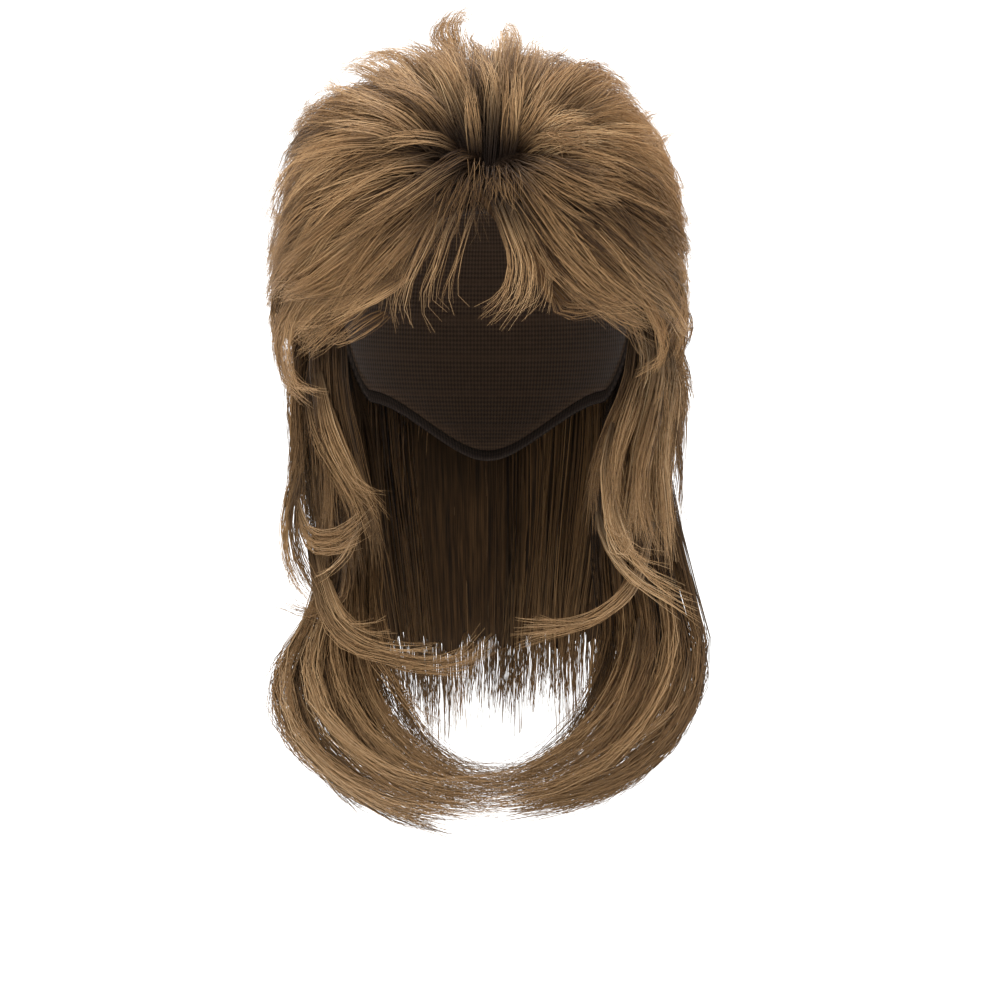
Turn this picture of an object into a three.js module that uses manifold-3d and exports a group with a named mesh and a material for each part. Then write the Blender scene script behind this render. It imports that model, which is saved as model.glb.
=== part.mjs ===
// Mullet wig: a cap of sewn net panels with a hem, and hair in nine groups of locks.
// Millimetres, +Z up.
// The face looks along -Y, and +X is to a viewer's right. The origin is where the crown of the
// wearer's head touches the inside of the cap.

import * as THREE from "three";
import { mergeVertices } from "three/addons/utils/BufferGeometryUtils.js";
import Module from "manifold-3d";

const wasm = await Module();
wasm.setup();

const DEGREES = Math.PI / 180;

// The head inside the cap is an ellipsoid whose top is the origin. Its crown is its height above
// its widest level.
const HEAD_WIDTH = 152;
const HEAD_LENGTH = 194;
const HEAD_CROWN = 95;
const HEAD_FORWARD = 5;
const HEAD_CENTRE = new THREE.Vector3(0, HEAD_FORWARD, -HEAD_CROWN);

// The cap's wall and hem, and the clearance between neighbouring pieces.
const WALL = 1.5;
const HEM_HEIGHT = 6;
const GAP = 0.35;
const CAP_COLUMNS = 28;
const CAP_ROWS = 6;

// The cap is sewn from a crown panel and four panels round it, each with its own length of hem.
// Columns are counted round the head from the face, and rows down from the crown.
const CROWN_ROWS = 2;
const SIDE_PANELS = [
  { name: "front", columns: [-4, 4] },
  { name: "right", columns: [4, 10] },
  { name: "nape", columns: [10, 18] },
  { name: "left", columns: [18, 24] },
];

// How deep the hair is over the head, and how far it hangs below the head's widest level.
const TOP_HAIR = 47;
const SIDE_HAIR = 26;
const FRONT_HAIR = 15;
const BACK_HAIR = 29;
const HANG = 242;

// How far the middle of the hair lies to the right and back of the head's middle.
const HAIR_RIGHT = -4;
const HAIR_BACK = 3;

// How far the hem's lower edge lies below the crown, as a share of the head's crown, by the angle
// round the head from the face.
const RIM = [
  { angle: 0, drop: 0.47 },
  { angle: 35, drop: 0.53 },
  { angle: 58, drop: 0.7 },
  { angle: 79, drop: 1.2 },
  { angle: 92, drop: 0.99 },
  { angle: 102, drop: 0.99 },
  { angle: 124, drop: 1.37 },
  { angle: 180, drop: 1.68 },
];

// The outside of the hair over the head: a rounded box about a centre that lies some way down the
// crown, with a half size each way.
const DOME_DEPTH = 0.74 * HEAD_CROWN;
const DOME = {
  centre: new THREE.Vector3(HAIR_RIGHT, HEAD_FORWARD + HAIR_BACK, -DOME_DEPTH),
  halfWidth: HEAD_WIDTH / 2 + SIDE_HAIR,
  front: HEAD_LENGTH / 2 + FRONT_HAIR,
  back: HEAD_LENGTH / 2 + BACK_HAIR,
  top: DOME_DEPTH + TOP_HAIR,
  below: 2 * DOME_DEPTH,
  power: 2.7,
};

// The place on the head's top front that the locks fan out from, as shares of the head's half
// width, half length and crown from the head's centre.
const ROOT = { across: -0.17, along: -0.67, up: 0.7 };

// The backing under the locks: the share of the hair's depth that it fills, how far it first
// reaches into the cap that is then cut out of it, and how near the root it starts, in degrees.
const BACKING_DEPTH = 0.68;
const BACKING_INSIDE = 3;
const BACKING_START = 3;

// An ordinary lock, of which the tables below give each lock's width and thickness as shares.
const LOCK_WIDTH = 30;
const LOCK_THICK = 12;

// A lock's width along its length, as shares of its greatest width, and how it is faceted.
const TAPER = { root: 0.55, widening: 1.6, tip: 0.12 };
const LOCK_SIDES = 4;
const DOME_STATIONS = 3;
const SIDE_STATIONS = 5;
const TAIL_STATIONS = 8;

// How far one dome lock differs from the next, in degrees and as a share of the hair's depth.
const JITTER = { turn: 3, reach: 4, depth: 0.05 };

// Hair over the dome. Turn is the angle round the root, in degrees from the viewer's right over
// the top, and reach the angle from the root down over the dome, for the first, middle and last
// lock of a row. Depth is the share of the hair's depth at which the middle of a lock lies, at its
// root, half way and tip. A row of one lock is a spike that stands out of the crown.
const DOME_GROUPS = {
  crown_hair: {
    seed: 11,
    backing: { turn: [-2, 182], start: 0, reach: [110, 160, 103], columns: 8, rows: 6 },
    layers: [
      {
        turn: [2, 176], start: 104, reach: [127, 168, 118], count: 6,
        width: 1.93, thick: 1.08, depth: [0.5, 0.82, 0.8],
      },
      {
        turn: [2, 177], start: 74, reach: [106, 135, 97], count: 6,
        width: 1.73, thick: 1.08, depth: [0.5, 0.86, 0.9],
      },
      {
        turn: [4, 176], start: 42, reach: [80, 104, 78], count: 6,
        width: 1.53, thick: 1, depth: [0.5, 0.86, 0.95],
      },
      {
        turn: [10, 170], start: 6, reach: [60, 70, 60], count: 7,
        width: 1.13, thick: 1, depth: [0.55, 0.88, 0.97],
      },
      {
        turn: [82, 82], start: 30, reach: [57, 57, 57], count: 1,
        width: 0.5, thick: 0.67, depth: [0.7, 0.98, 1.18],
      },
      {
        turn: [99, 99], start: 30, reach: [59, 59, 59], count: 1,
        width: 0.6, thick: 0.75, depth: [0.7, 1, 1.22],
      },
      {
        turn: [117, 117], start: 34, reach: [63, 63, 63], count: 1,
        width: 0.53, thick: 0.67, depth: [0.7, 0.98, 1.06],
      },
    ],
  },
  left_wing_hair: {
    seed: 12,
    backing: { turn: [182, 236], start: BACKING_START, reach: [81, 65, 46], columns: 3, rows: 4 },
    layers: [
      {
        turn: [190, 225], start: 28, reach: [90, 77, 61], count: 3,
        width: 1.33, thick: 1, depth: [0.5, 0.84, 0.74],
      },
      {
        turn: [186, 229], start: 8, reach: [79, 67, 50], count: 4,
        width: 1, thick: 0.92, depth: [0.5, 0.92, 0.92],
      },
    ],
  },
  right_wing_hair: {
    seed: 13,
    backing: { turn: [302, 358], start: BACKING_START, reach: [46, 66, 88], columns: 3, rows: 4 },
    layers: [
      {
        turn: [316, 350], start: 28, reach: [65, 82, 98], count: 3,
        width: 1.33, thick: 1, depth: [0.5, 0.84, 0.74],
      },
      {
        turn: [310, 354], start: 8, reach: [53, 71, 87], count: 4,
        width: 1, thick: 0.92, depth: [0.5, 0.92, 0.92],
      },
    ],
  },
  fringe: {
    seed: 14,
    backing: { turn: [236, 302], start: BACKING_START, reach: [20, 15, 24], columns: 4, rows: 3 },
    layers: [
      {
        turn: [246, 298], start: 6, reach: [48, 45, 50], count: 5,
        width: 0.6, thick: 0.42, depth: [0.5, 0.78, 0.55],
      },
    ],
  },
};

// Hair that hangs below the cap. A group is a sheet between two edges, the one on the outline and
// the one nearest the face or neck, and its locks run down the sheet. A point is a share of the
// dome's half width to the right, of the head's half length to the back, and of the hang down,
// all from the head's centre. Side is how far across the sheet the first and last lock lie, and
// out how far a layer stands off it, away from the neck, as a share of a lock's thickness. Its pad
// of roots on the cap lies between two angles round the head and two drops below the crown, which
// are shares of the crown, as deep as a share of a lock's thickness. A flick is a thin lock that
// leaves the sheet and crosses in front of the neck.
const TAIL_LAYERS = [
  { side: [0.18, 0.86], out: -0.58, count: 3, from: 0, to: 0.93, width: 1.03, thick: 1.25 },
  { side: [0.1, 0.92], out: 0.25, count: 4, from: 0.04, to: 1, width: 0.77, thick: 1 },
];
const HANGING_GROUPS = {
  left_side_locks: {
    stations: SIDE_STATIONS,
    pad: { angle: [272, 298], drop: [0.74, 1.12], depth: 1.17, columns: 2, rows: 2 },
    outer: [
      [-0.84, -0.11, -0.04], [-0.95, -0.14, 0.1], [-0.94, -0.2, 0.27], [-0.95, -0.22, 0.43],
      [-0.91, -0.22, 0.57],
    ],
    inner: [
      [-0.75, -0.46, -0.03], [-0.76, -0.51, 0.1], [-0.69, -0.46, 0.27], [-0.61, -0.4, 0.41],
      [-0.57, -0.36, 0.52],
    ],
    layers: [
      { side: [0.1, 0.9], out: -0.75, count: 3, from: 0, to: 1, width: 1.07, thick: 1.25 },
      { side: [0.12, 0.95], out: 0.17, count: 3, from: 0, to: 0.86, width: 0.87, thick: 1 },
    ],
    flicks: [],
  },
  right_side_locks: {
    stations: SIDE_STATIONS,
    pad: { angle: [62, 88], drop: [0.74, 1.12], depth: 1.17, columns: 2, rows: 2 },
    outer: [
      [0.82, -0.11, -0.04], [0.93, -0.14, 0.1], [0.89, -0.2, 0.25], [0.92, -0.22, 0.4],
      [0.97, -0.2, 0.52],
    ],
    inner: [
      [0.73, -0.46, -0.03], [0.75, -0.51, 0.1], [0.62, -0.46, 0.25], [0.56, -0.4, 0.39],
      [0.59, -0.36, 0.5],
    ],
    layers: [
      { side: [0.1, 0.9], out: -0.75, count: 3, from: 0, to: 1, width: 1.07, thick: 1.25 },
      { side: [0.12, 0.95], out: 0.17, count: 3, from: 0, to: 0.84, width: 0.87, thick: 1 },
    ],
    flicks: [],
  },
  left_tail: {
    stations: TAIL_STATIONS,
    pad: { angle: [234, 262], drop: [0.88, 1.33], depth: 1.17, columns: 2, rows: 2 },
    outer: [
      [-0.82, 0.18, 0.02], [-0.86, 0.15, 0.23], [-0.8, 0.07, 0.455], [-0.84, -0.05, 0.61],
      [-0.97, -0.2, 0.7], [-0.97, -0.4, 0.805], [-0.8, -0.61, 0.895], [-0.53, -0.77, 0.965],
      [-0.18, -0.88, 1],
    ],
    inner: [
      [-0.69, 0.51, 0.07], [-0.66, 0.46, 0.25], [-0.63, 0.26, 0.44], [-0.61, 0.01, 0.575],
      [-0.56, -0.2, 0.655], [-0.49, -0.4, 0.74], [-0.37, -0.59, 0.82], [-0.18, -0.73, 0.885],
      [0.08, -0.81, 0.92],
    ],
    layers: TAIL_LAYERS,
    flicks: [
      [
        [-0.8, -0.18, 0.455], [-0.75, -0.32, 0.6], [-0.49, -0.53, 0.675], [-0.18, -0.63, 0.69],
        [0.02, -0.65, 0.64],
      ],
    ],
  },
  right_tail: {
    stations: TAIL_STATIONS,
    pad: { angle: [98, 126], drop: [0.88, 1.33], depth: 1.17, columns: 2, rows: 2 },
    outer: [
      [0.8, 0.18, 0.02], [0.86, 0.15, 0.23], [0.93, 0.07, 0.435], [1, -0.05, 0.575],
      [1.04, -0.2, 0.665], [1, -0.4, 0.775], [0.8, -0.61, 0.895], [0.49, -0.77, 0.95],
      [0.14, -0.88, 0.98],
    ],
    inner: [
      [0.69, 0.51, 0.07], [0.65, 0.46, 0.25], [0.61, 0.26, 0.44], [0.63, 0.01, 0.565],
      [0.63, -0.2, 0.65], [0.57, -0.4, 0.725], [0.45, -0.59, 0.81], [0.24, -0.73, 0.88],
      [0, -0.81, 0.92],
    ],
    layers: TAIL_LAYERS,
    flicks: [
      [
        [0.78, -0.13, 0.39], [0.73, -0.3, 0.5], [0.57, -0.46, 0.575], [0.33, -0.59, 0.61],
        [0.14, -0.65, 0.62],
      ],
    ],
  },
};
const FLICK = { width: 0.3, thick: 0.42 };

// The back hair: a curtain round the neck from the cap's nape down, with locks over it that end
// below its edge. Its rings are round an upright axis, with a radius as a share of the head's half
// length, at shares of the hang. Angles are in degrees.
const NAPE = {
  axis: 0.155,
  rings: [
    { down: -0.01, radius: 0.87 },
    { down: 0.13, radius: 0.98 },
    { down: 0.41, radius: 0.9 },
    { down: 0.67, radius: 0.8 },
    { down: 0.93, radius: 0.74 },
  ],
  pad: { angle: [130, 230], drop: [0.97, 1.58], depth: 1.42, columns: 4, rows: 2 },
  curtain: { halfAngle: 70, length: 0.86, thick: 0.75, columns: 6, rows: 4 },
  locks: { halfAngle: 66, count: 6, out: 0.42, width: 1.13, thick: 1 },
};

// The axis of the neck that the hanging hair falls round, as a share of the head's half length
// behind its centre.
const NECK_AXIS = 0.1;

const HAIR = { color: 0x7d644b, roughness: 0.55, metalness: 0 };
const LONG_HAIR = { color: 0x5f4b3e, roughness: 0.6, metalness: 0 };
const NET = { color: 0x3a2e26, roughness: 0.9, metalness: 0 };
const LOOKS = { left_tail: LONG_HAIR, right_tail: LONG_HAIR, nape_hair: LONG_HAIR };

const mix = (a, b, share) => a + (b - a) * share;

// Repeatable numbers from 0 to 1.
function randomFrom(seed) {
  let state = seed;
  return () => {
    state = (Math.imul(state, 1664525) + 1013904223) >>> 0;
    return state / 2 ** 32;
  };
}

// A smooth curve through the points of a hanging sheet's edge, or of a flick.
function hangingCurve(points) {
  const sizes = new THREE.Vector3(DOME.halfWidth, HEAD_LENGTH / 2, -HANG);
  const knots = points.map((shares) => new THREE.Vector3(...shares).multiply(sizes).add(HEAD_CENTRE));
  return new THREE.CatmullRomCurve3(knots, false, "catmullrom");
}

// A closed solid from corner points and triangles, without the triangles that shrink to a line.
function solidFrom(points, triangles) {
  const geometry = new THREE.BufferGeometry();
  geometry.setFromPoints(points);
  geometry.setIndex(triangles);
  const merged = mergeVertices(geometry, 1e-4);
  const corners = merged.index.array;
  const kept = [];
  for (let i = 0; i < corners.length; i += 3) {
    const [a, b, c] = corners.slice(i, i + 3);
    if (a !== b && b !== c && c !== a) kept.push(a, b, c);
  }
  return new wasm.Manifold(
    new wasm.Mesh({
      numProp: 3,
      vertProperties: merged.attributes.position.array,
      triVerts: new Uint32Array(kept),
    }),
  );
}

// A curved plate between an inner and an outer grid of points. Where closed is set, its last
// column meets its first.
function plate(columns, rows, inner, outer, closed) {
  const points = [];
  const triangles = [];
  for (const side of [inner, outer]) {
    for (let i = 0; i <= columns; i += 1) {
      for (let j = 0; j <= rows; j += 1) points.push(side(closed && i === columns ? 0 : i, j));
    }
  }
  const index = (layer, i, j) => (layer * (columns + 1) + i) * (rows + 1) + j;
  const quad = (a, b, c, d) => triangles.push(a, b, c, a, c, d);
  for (let i = 0; i < columns; i += 1) {
    for (let j = 0; j < rows; j += 1) {
      quad(index(1, i, j), index(1, i, j + 1), index(1, i + 1, j + 1), index(1, i + 1, j));
      quad(index(0, i, j), index(0, i + 1, j), index(0, i + 1, j + 1), index(0, i, j + 1));
    }
    quad(index(0, i, 0), index(1, i, 0), index(1, i + 1, 0), index(0, i + 1, 0));
    quad(index(0, i, rows), index(0, i + 1, rows), index(1, i + 1, rows), index(1, i, rows));
  }
  for (let j = 0; j < rows && !closed; j += 1) {
    const last = columns;
    quad(index(0, 0, j), index(0, 0, j + 1), index(1, 0, j + 1), index(1, 0, j));
    quad(index(0, last, j), index(1, last, j), index(1, last, j + 1), index(0, last, j + 1));
  }
  return solidFrom(points, triangles);
}

function lockTaper(t) {
  return Math.min(1, TAPER.root + TAPER.widening * t) * (1 - (1 - TAPER.tip) * t ** 3);
}

// A lock: a flattened tube along a path, drawn out to a tip. Out gives the direction that its flat
// side faces, and grow makes it fatter all round.
function lock(path, out, { width, thick }, stations, grow) {
  const points = [];
  const triangles = [];
  const step = 1e-3;
  for (let s = 0; s <= stations; s += 1) {
    const t = s / stations;
    const centre = path(t);
    const along = path(Math.min(1, t + step)).sub(path(Math.max(0, t - step))).normalize();
    const side = out(centre).cross(along).normalize();
    const lift = along.clone().cross(side);
    if (s === 0) centre.addScaledVector(along, -grow);
    if (s === stations) centre.addScaledVector(along, grow);
    const halfWidth = ((width * LOCK_WIDTH) / 2) * lockTaper(t) + grow;
    const halfThick = ((thick * LOCK_THICK) / 2) * lockTaper(t) + grow;
    for (let k = 0; k < LOCK_SIDES; k += 1) {
      const angle = (k / LOCK_SIDES) * 2 * Math.PI;
      const corner = centre.clone().addScaledVector(side, Math.cos(angle) * halfWidth);
      points.push(corner.addScaledVector(lift, Math.sin(angle) * halfThick));
    }
  }
  for (let s = 0; s < stations; s += 1) {
    for (let k = 0; k < LOCK_SIDES; k += 1) {
      const a = s * LOCK_SIDES + k;
      const b = s * LOCK_SIDES + ((k + 1) % LOCK_SIDES);
      triangles.push(a, b, b + LOCK_SIDES, a, b + LOCK_SIDES, a + LOCK_SIDES);
    }
  }
  const last = stations * LOCK_SIDES;
  for (let k = 1; k < LOCK_SIDES - 1; k += 1) {
    triangles.push(0, k + 1, k);
    triangles.push(last, last + k, last + k + 1);
  }
  return solidFrom(points, triangles);
}

const join = (solids) => solids.reduce((all, one) => all.add(one));

function largestBody(solid) {
  return solid.decompose().reduce((best, one) => (one.volume() > best.volume() ? one : best));
}

// A point on the head, by the angle round it from the face and the angle down from the crown.
function headPoint(angle, polar, offset) {
  const around = Math.sin(polar);
  return new THREE.Vector3(
    (HEAD_WIDTH / 2 + offset) * around * Math.sin(angle),
    -(HEAD_LENGTH / 2 + offset) * around * Math.cos(angle),
    (HEAD_CROWN + offset) * Math.cos(polar),
  ).add(HEAD_CENTRE);
}

const polarAtDrop = (drop) => Math.acos(1 - drop);

// The hem's lower edge at an angle round the head, as an angle down from the crown.
function rimPolar(angle) {
  const degrees = Math.abs(((angle / DEGREES + 180) % 360) - 180);
  const next = Math.max(1, RIM.findIndex((row) => row.angle >= degrees));
  const [before, after] = [RIM[next - 1], RIM[next]];
  const share = (degrees - before.angle) / (after.angle - before.angle);
  return polarAtDrop(mix(before.drop, after.drop, (1 - Math.cos(Math.PI * share)) / 2));
}

const capAngle = (column) => (column / CAP_COLUMNS) * 2 * Math.PI;
const hemPolar = HEM_HEIGHT / HEAD_CROWN;
const gapPolar = GAP / HEAD_CROWN;

// The cap's grid of points, from the crown down to the hem.
function capPoint(column, row, offset) {
  const edge = rimPolar(capAngle(column)) - hemPolar - gapPolar;
  return headPoint(capAngle(column), (edge * row) / CAP_ROWS, offset);
}

// One panel of the cap or one length of hem, with half a gap left along each seam. Polar gives
// the angle down from the crown of each of its rows.
function capPanel([first, last], rows, polar) {
  const seam = last - first < CAP_COLUMNS ? GAP / HEAD_WIDTH : 0;
  const angleAt = (i) => {
    if (i === 0) return capAngle(first) + seam;
    return capAngle(first + i) - (first + i === last ? seam : 0);
  };
  const at = (offset) => (i, j) => headPoint(angleAt(i), polar(angleAt(i), j), offset);
  return plate(last - first, rows, at(0), at(WALL), seam === 0);
}

function capPanels() {
  const netRow = (angle, row) => ((rimPolar(angle) - hemPolar - gapPolar) * row) / CAP_ROWS;
  const inRow = (first, last) => (angle, j) =>
    netRow(angle, first + j) +
    (j === 0 && first > 0 ? gapPolar / 2 : 0) -
    (first + j === last && last < CAP_ROWS ? gapPolar / 2 : 0);
  const hemRow = (angle, j) => rimPolar(angle) - hemPolar * (1 - j);
  const crown = capPanel([0, CAP_COLUMNS], CROWN_ROWS, inRow(0, CROWN_ROWS));
  const panels = { cap_crown: crown };
  for (const { name, columns } of SIDE_PANELS) {
    const rows = CAP_ROWS - CROWN_ROWS;
    panels[`cap_${name}`] = capPanel(columns, rows, inRow(CROWN_ROWS, CAP_ROWS));
    panels[`hem_${name}`] = capPanel(columns, 1, hemRow);
  }
  return panels;
}

// Everything that the cap, its hem and the head below them take up, for cutting the hair clear.
function headAndCap() {
  const rowsBelow = 5;
  const lowest = 160 * DEGREES;
  const outer = (i, j) => {
    if (j <= CAP_ROWS) return capPoint(i, j, WALL + GAP);
    const down = (j - CAP_ROWS - 1) / (rowsBelow - 1);
    return headPoint(capAngle(i), mix(rimPolar(capAngle(i)), lowest, down), WALL + GAP);
  };
  return plate(CAP_COLUMNS, CAP_ROWS + rowsBelow, () => HEAD_CENTRE.clone(), outer, true);
}

// Directions over the dome: turn round the root, reach away from it.
const rootAxis = new THREE.Vector3(
  (ROOT.across * HEAD_WIDTH) / 2,
  (ROOT.along * HEAD_LENGTH) / 2,
  ROOT.up * HEAD_CROWN,
)
  .add(HEAD_CENTRE)
  .sub(DOME.centre)
  .normalize();
const rightward = new THREE.Vector3(1, 0, 0).addScaledVector(rootAxis, -rootAxis.x).normalize();
const backward = rootAxis.clone().cross(rightward);

function domeDirection(turn, reach) {
  return rootAxis
    .clone()
    .multiplyScalar(Math.cos(reach))
    .addScaledVector(rightward, Math.cos(turn) * Math.sin(reach))
    .addScaledVector(backward, Math.sin(turn) * Math.sin(reach));
}

// Distance from the dome's centre to the outside of the hair.
function hairRadius(direction) {
  const depth = direction.y < 0 ? DOME.front : DOME.back;
  const height = direction.z > 0 ? DOME.top : DOME.below;
  const sum =
    Math.abs(direction.x / DOME.halfWidth) ** DOME.power +
    Math.abs(direction.y / depth) ** DOME.power +
    Math.abs(direction.z / height) ** DOME.power;
  return sum ** (-1 / DOME.power);
}

// Distance from the dome's centre to the outside of the cap, where the line leaves it.
function capRadius(direction) {
  const sizes = new THREE.Vector3(HEAD_WIDTH / 2, HEAD_LENGTH / 2, HEAD_CROWN);
  sizes.addScalar(WALL + GAP);
  const from = DOME.centre.clone().sub(HEAD_CENTRE).divide(sizes);
  const way = direction.clone().divide(sizes);
  const a = way.dot(way);
  const b = way.dot(from);
  const c = from.dot(from) - 1;
  return (-b + Math.sqrt(b * b - a * c)) / a;
}

function domePoint(turn, reach, depth, extra) {
  const direction = domeDirection(turn, reach);
  const radius = mix(capRadius(direction), hairRadius(direction), depth) + extra;
  return direction.multiplyScalar(radius).add(DOME.centre);
}

const domeOut = (point) => point.clone().sub(DOME.centre).normalize();

// A value at a share of the way through the ones given for the start, the middle and the end.
function through([first, middle, last], share) {
  return share < 0.5 ? mix(first, middle, 2 * share) : mix(middle, last, 2 * share - 1);
}

function domeLocks(layers, seed, grow) {
  const random = randomFrom(seed);
  const wobble = (size) => (random() * 2 - 1) * size;
  return layers.flatMap((layer) =>
    Array.from({ length: layer.count }, (_, k) => {
      const share = layer.count > 1 ? k / (layer.count - 1) : 0.5;
      const turn = (mix(...layer.turn, share) + wobble(JITTER.turn)) * DEGREES;
      const end = through(layer.reach, share) + wobble(JITTER.reach);
      const bend = wobble(JITTER.turn) * DEGREES;
      const [root, middle, tip] = layer.depth;
      const depths = [root, middle, tip + wobble(JITTER.depth)];
      const path = (t) => {
        const reach = mix(layer.start, end, t) * DEGREES;
        return domePoint(turn + bend * t * t, reach, through(depths, t), 0);
      };
      return lock(path, domeOut, layer, DOME_STATIONS, grow);
    }),
  );
}

// The backing keeps half a gap from its neighbours along each edge that runs away from the root.
function domeBacking({ turn, start, reach, columns, rows }, grow) {
  const at = (depth, extra) => (i, j) => {
    const share = i / columns;
    const beyond = j === rows ? grow / HEAD_CROWN : 0;
    const away = mix(start, through(reach, share), j / rows) * DEGREES + beyond;
    const around = HEAD_CROWN * Math.sin(Math.max(away, BACKING_START * DEGREES));
    const inset = (GAP / 2 - grow) / around;
    const angle = mix(turn[0] * DEGREES + inset, turn[1] * DEGREES - inset, share);
    return domePoint(angle, away, depth, extra);
  };
  return plate(columns, rows, at(0, -BACKING_INSIDE), at(BACKING_DEPTH, grow), false);
}

function domeHair(group, grow) {
  return [domeBacking(group.backing, grow), ...domeLocks(group.layers, group.seed, grow)];
}

function rootPad({ angle, drop, depth, columns, rows }, grow) {
  const at = (offset, extra) => (i, j) => {
    const wider = extra / (HEAD_WIDTH / 2);
    const around = mix(angle[0] * DEGREES - wider, angle[1] * DEGREES + wider, i / columns);
    const taller = extra / HEAD_CROWN;
    const down = mix(polarAtDrop(drop[0]) - taller, polarAtDrop(drop[1]) + taller, j / rows);
    return headPoint(around, down, offset);
  };
  return plate(columns, rows, at(-BACKING_INSIDE, 0), at(depth * LOCK_THICK + grow, grow), false);
}

const neckY = HEAD_FORWARD + (NECK_AXIS * HEAD_LENGTH) / 2;
const neckOut = (point) => new THREE.Vector3(point.x, point.y - neckY, 0).normalize();

// A lock's path down a hanging sheet.
function sheetPath(group, layer, side) {
  const outer = hangingCurve(group.outer);
  const inner = hangingCurve(group.inner);
  return (t) => {
    const along = mix(layer.from, layer.to, t);
    const point = outer.getPoint(along).lerp(inner.getPoint(along), side);
    return point.addScaledVector(neckOut(point), layer.out * LOCK_THICK);
  };
}

function hangingHair(group, grow) {
  const locks = group.layers.flatMap((layer) =>
    Array.from({ length: layer.count }, (_, k) => {
      const side = mix(...layer.side, k / (layer.count - 1));
      return lock(sheetPath(group, layer, side), neckOut, layer, group.stations, grow);
    }),
  );
  const flicks = group.flicks.map((points) => {
    const curve = hangingCurve(points);
    return lock((t) => curve.getPoint(t), neckOut, FLICK, SIDE_STATIONS, grow);
  });
  return [rootPad(group.pad, grow), ...locks, ...flicks];
}

function napeHair(grow) {
  const profile = hangingCurve(NAPE.rings.map(({ radius, down }) => [0, radius, down]));
  const axis = HEAD_CENTRE.y + (NAPE.axis * HEAD_LENGTH) / 2;
  const at = (angle, along, out) => {
    const ring = profile.getPoint(along);
    const radius = ring.y - HEAD_CENTRE.y + out;
    return new THREE.Vector3(radius * Math.sin(angle), axis + radius * Math.cos(angle), ring.z);
  };
  const { halfAngle, length, thick, columns, rows } = NAPE.curtain;
  const widest = halfAngle * DEGREES + grow / (HEAD_LENGTH / 2);
  const longest = length + grow / HANG;
  const halfThick = (thick * LOCK_THICK) / 2 + grow;
  const sheet = (out) => (i, j) =>
    at(mix(widest, -widest, i / columns), mix(0, longest, j / rows), out);
  const curtain = plate(columns, rows, sheet(-halfThick), sheet(halfThick), false);
  const { locks } = NAPE;
  const hanging = Array.from({ length: locks.count }, (_, k) => {
    const angle = mix(-locks.halfAngle, locks.halfAngle, k / (locks.count - 1)) * DEGREES;
    const path = (t) => at(angle, t, locks.out * LOCK_THICK);
    return lock(path, neckOut, locks, SIDE_STATIONS, grow);
  });
  return [rootPad(NAPE.pad, grow), curtain, ...hanging];
}

// Each group of hair as its own solids, which grow can fatten for cutting its neighbours.
const solidsOf = {};
for (const [name, group] of Object.entries(DOME_GROUPS)) {
  solidsOf[name] = (grow) => domeHair(group, grow);
}
for (const [name, group] of Object.entries(HANGING_GROUPS)) {
  solidsOf[name] = (grow) => hangingHair(group, grow);
}
solidsOf.nape_hair = napeHair;

function meshOf(name, solid, look) {
  const { vertProperties, triVerts } = solid.getMesh();
  const geometry = new THREE.BufferGeometry();
  geometry.setAttribute("position", new THREE.BufferAttribute(vertProperties, 3));
  geometry.setIndex(new THREE.BufferAttribute(triVerts, 1));
  geometry.computeVertexNormals();
  const mesh = new THREE.Mesh(geometry, new THREE.MeshStandardMaterial(look));
  mesh.name = name;
  return mesh;
}

const wig = new THREE.Group();
for (const [name, panel] of Object.entries(capPanels())) wig.add(meshOf(name, panel, NET));

// Each group gives way to the cap and to the groups before it.
let taken = headAndCap();
for (const [name, solids] of Object.entries(solidsOf)) {
  const hair = largestBody(join(solids(0)).subtract(taken));
  wig.add(meshOf(name, hair, LOOKS[name] ?? HAIR));
  taken = taken.add(join(solids(GAP)));
}

export default wig;
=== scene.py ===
import math

import bmesh
import bpy
import numpy as np
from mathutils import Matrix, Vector


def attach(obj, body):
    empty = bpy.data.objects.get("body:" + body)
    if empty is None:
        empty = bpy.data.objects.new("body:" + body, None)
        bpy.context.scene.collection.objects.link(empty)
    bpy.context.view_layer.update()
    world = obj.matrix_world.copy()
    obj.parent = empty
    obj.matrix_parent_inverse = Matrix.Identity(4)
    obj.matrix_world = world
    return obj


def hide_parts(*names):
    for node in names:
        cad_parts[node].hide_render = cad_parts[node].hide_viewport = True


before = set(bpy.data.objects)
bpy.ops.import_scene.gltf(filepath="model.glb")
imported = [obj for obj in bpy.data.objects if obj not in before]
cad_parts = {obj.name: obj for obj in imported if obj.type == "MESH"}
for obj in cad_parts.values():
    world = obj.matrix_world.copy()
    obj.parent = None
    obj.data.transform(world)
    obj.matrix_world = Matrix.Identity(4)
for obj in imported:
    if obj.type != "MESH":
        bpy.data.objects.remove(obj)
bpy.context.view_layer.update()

# Sizes repeat those of the part's source, in millimetres. A mesh is made in metres.
MM = 0.001
DEG = math.pi / 180

HEAD_WIDTH = 152
HEAD_LENGTH = 194
HEAD_CROWN = 95
HEAD_FORWARD = 5
HEAD_SIZES = np.array([HEAD_WIDTH / 2, HEAD_LENGTH / 2, HEAD_CROWN])
HEAD_CENTRE = np.array([0, HEAD_FORWARD, -HEAD_CROWN])
WALL = 1.5
HEM_HEIGHT = 6
GAP = 0.35

TOP_HAIR = 47
SIDE_HAIR = 26
FRONT_HAIR = 15
BACK_HAIR = 29
HANG = 242
DOME_DEPTH = 0.74 * HEAD_CROWN
DOME_CENTRE = np.array([-4, HEAD_FORWARD + 3, -DOME_DEPTH])
DOME_WIDTH = HEAD_WIDTH / 2 + SIDE_HAIR
DOME_POWER = 2.7
ROOT = np.array([-0.17, -0.67, 0.7])

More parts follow.
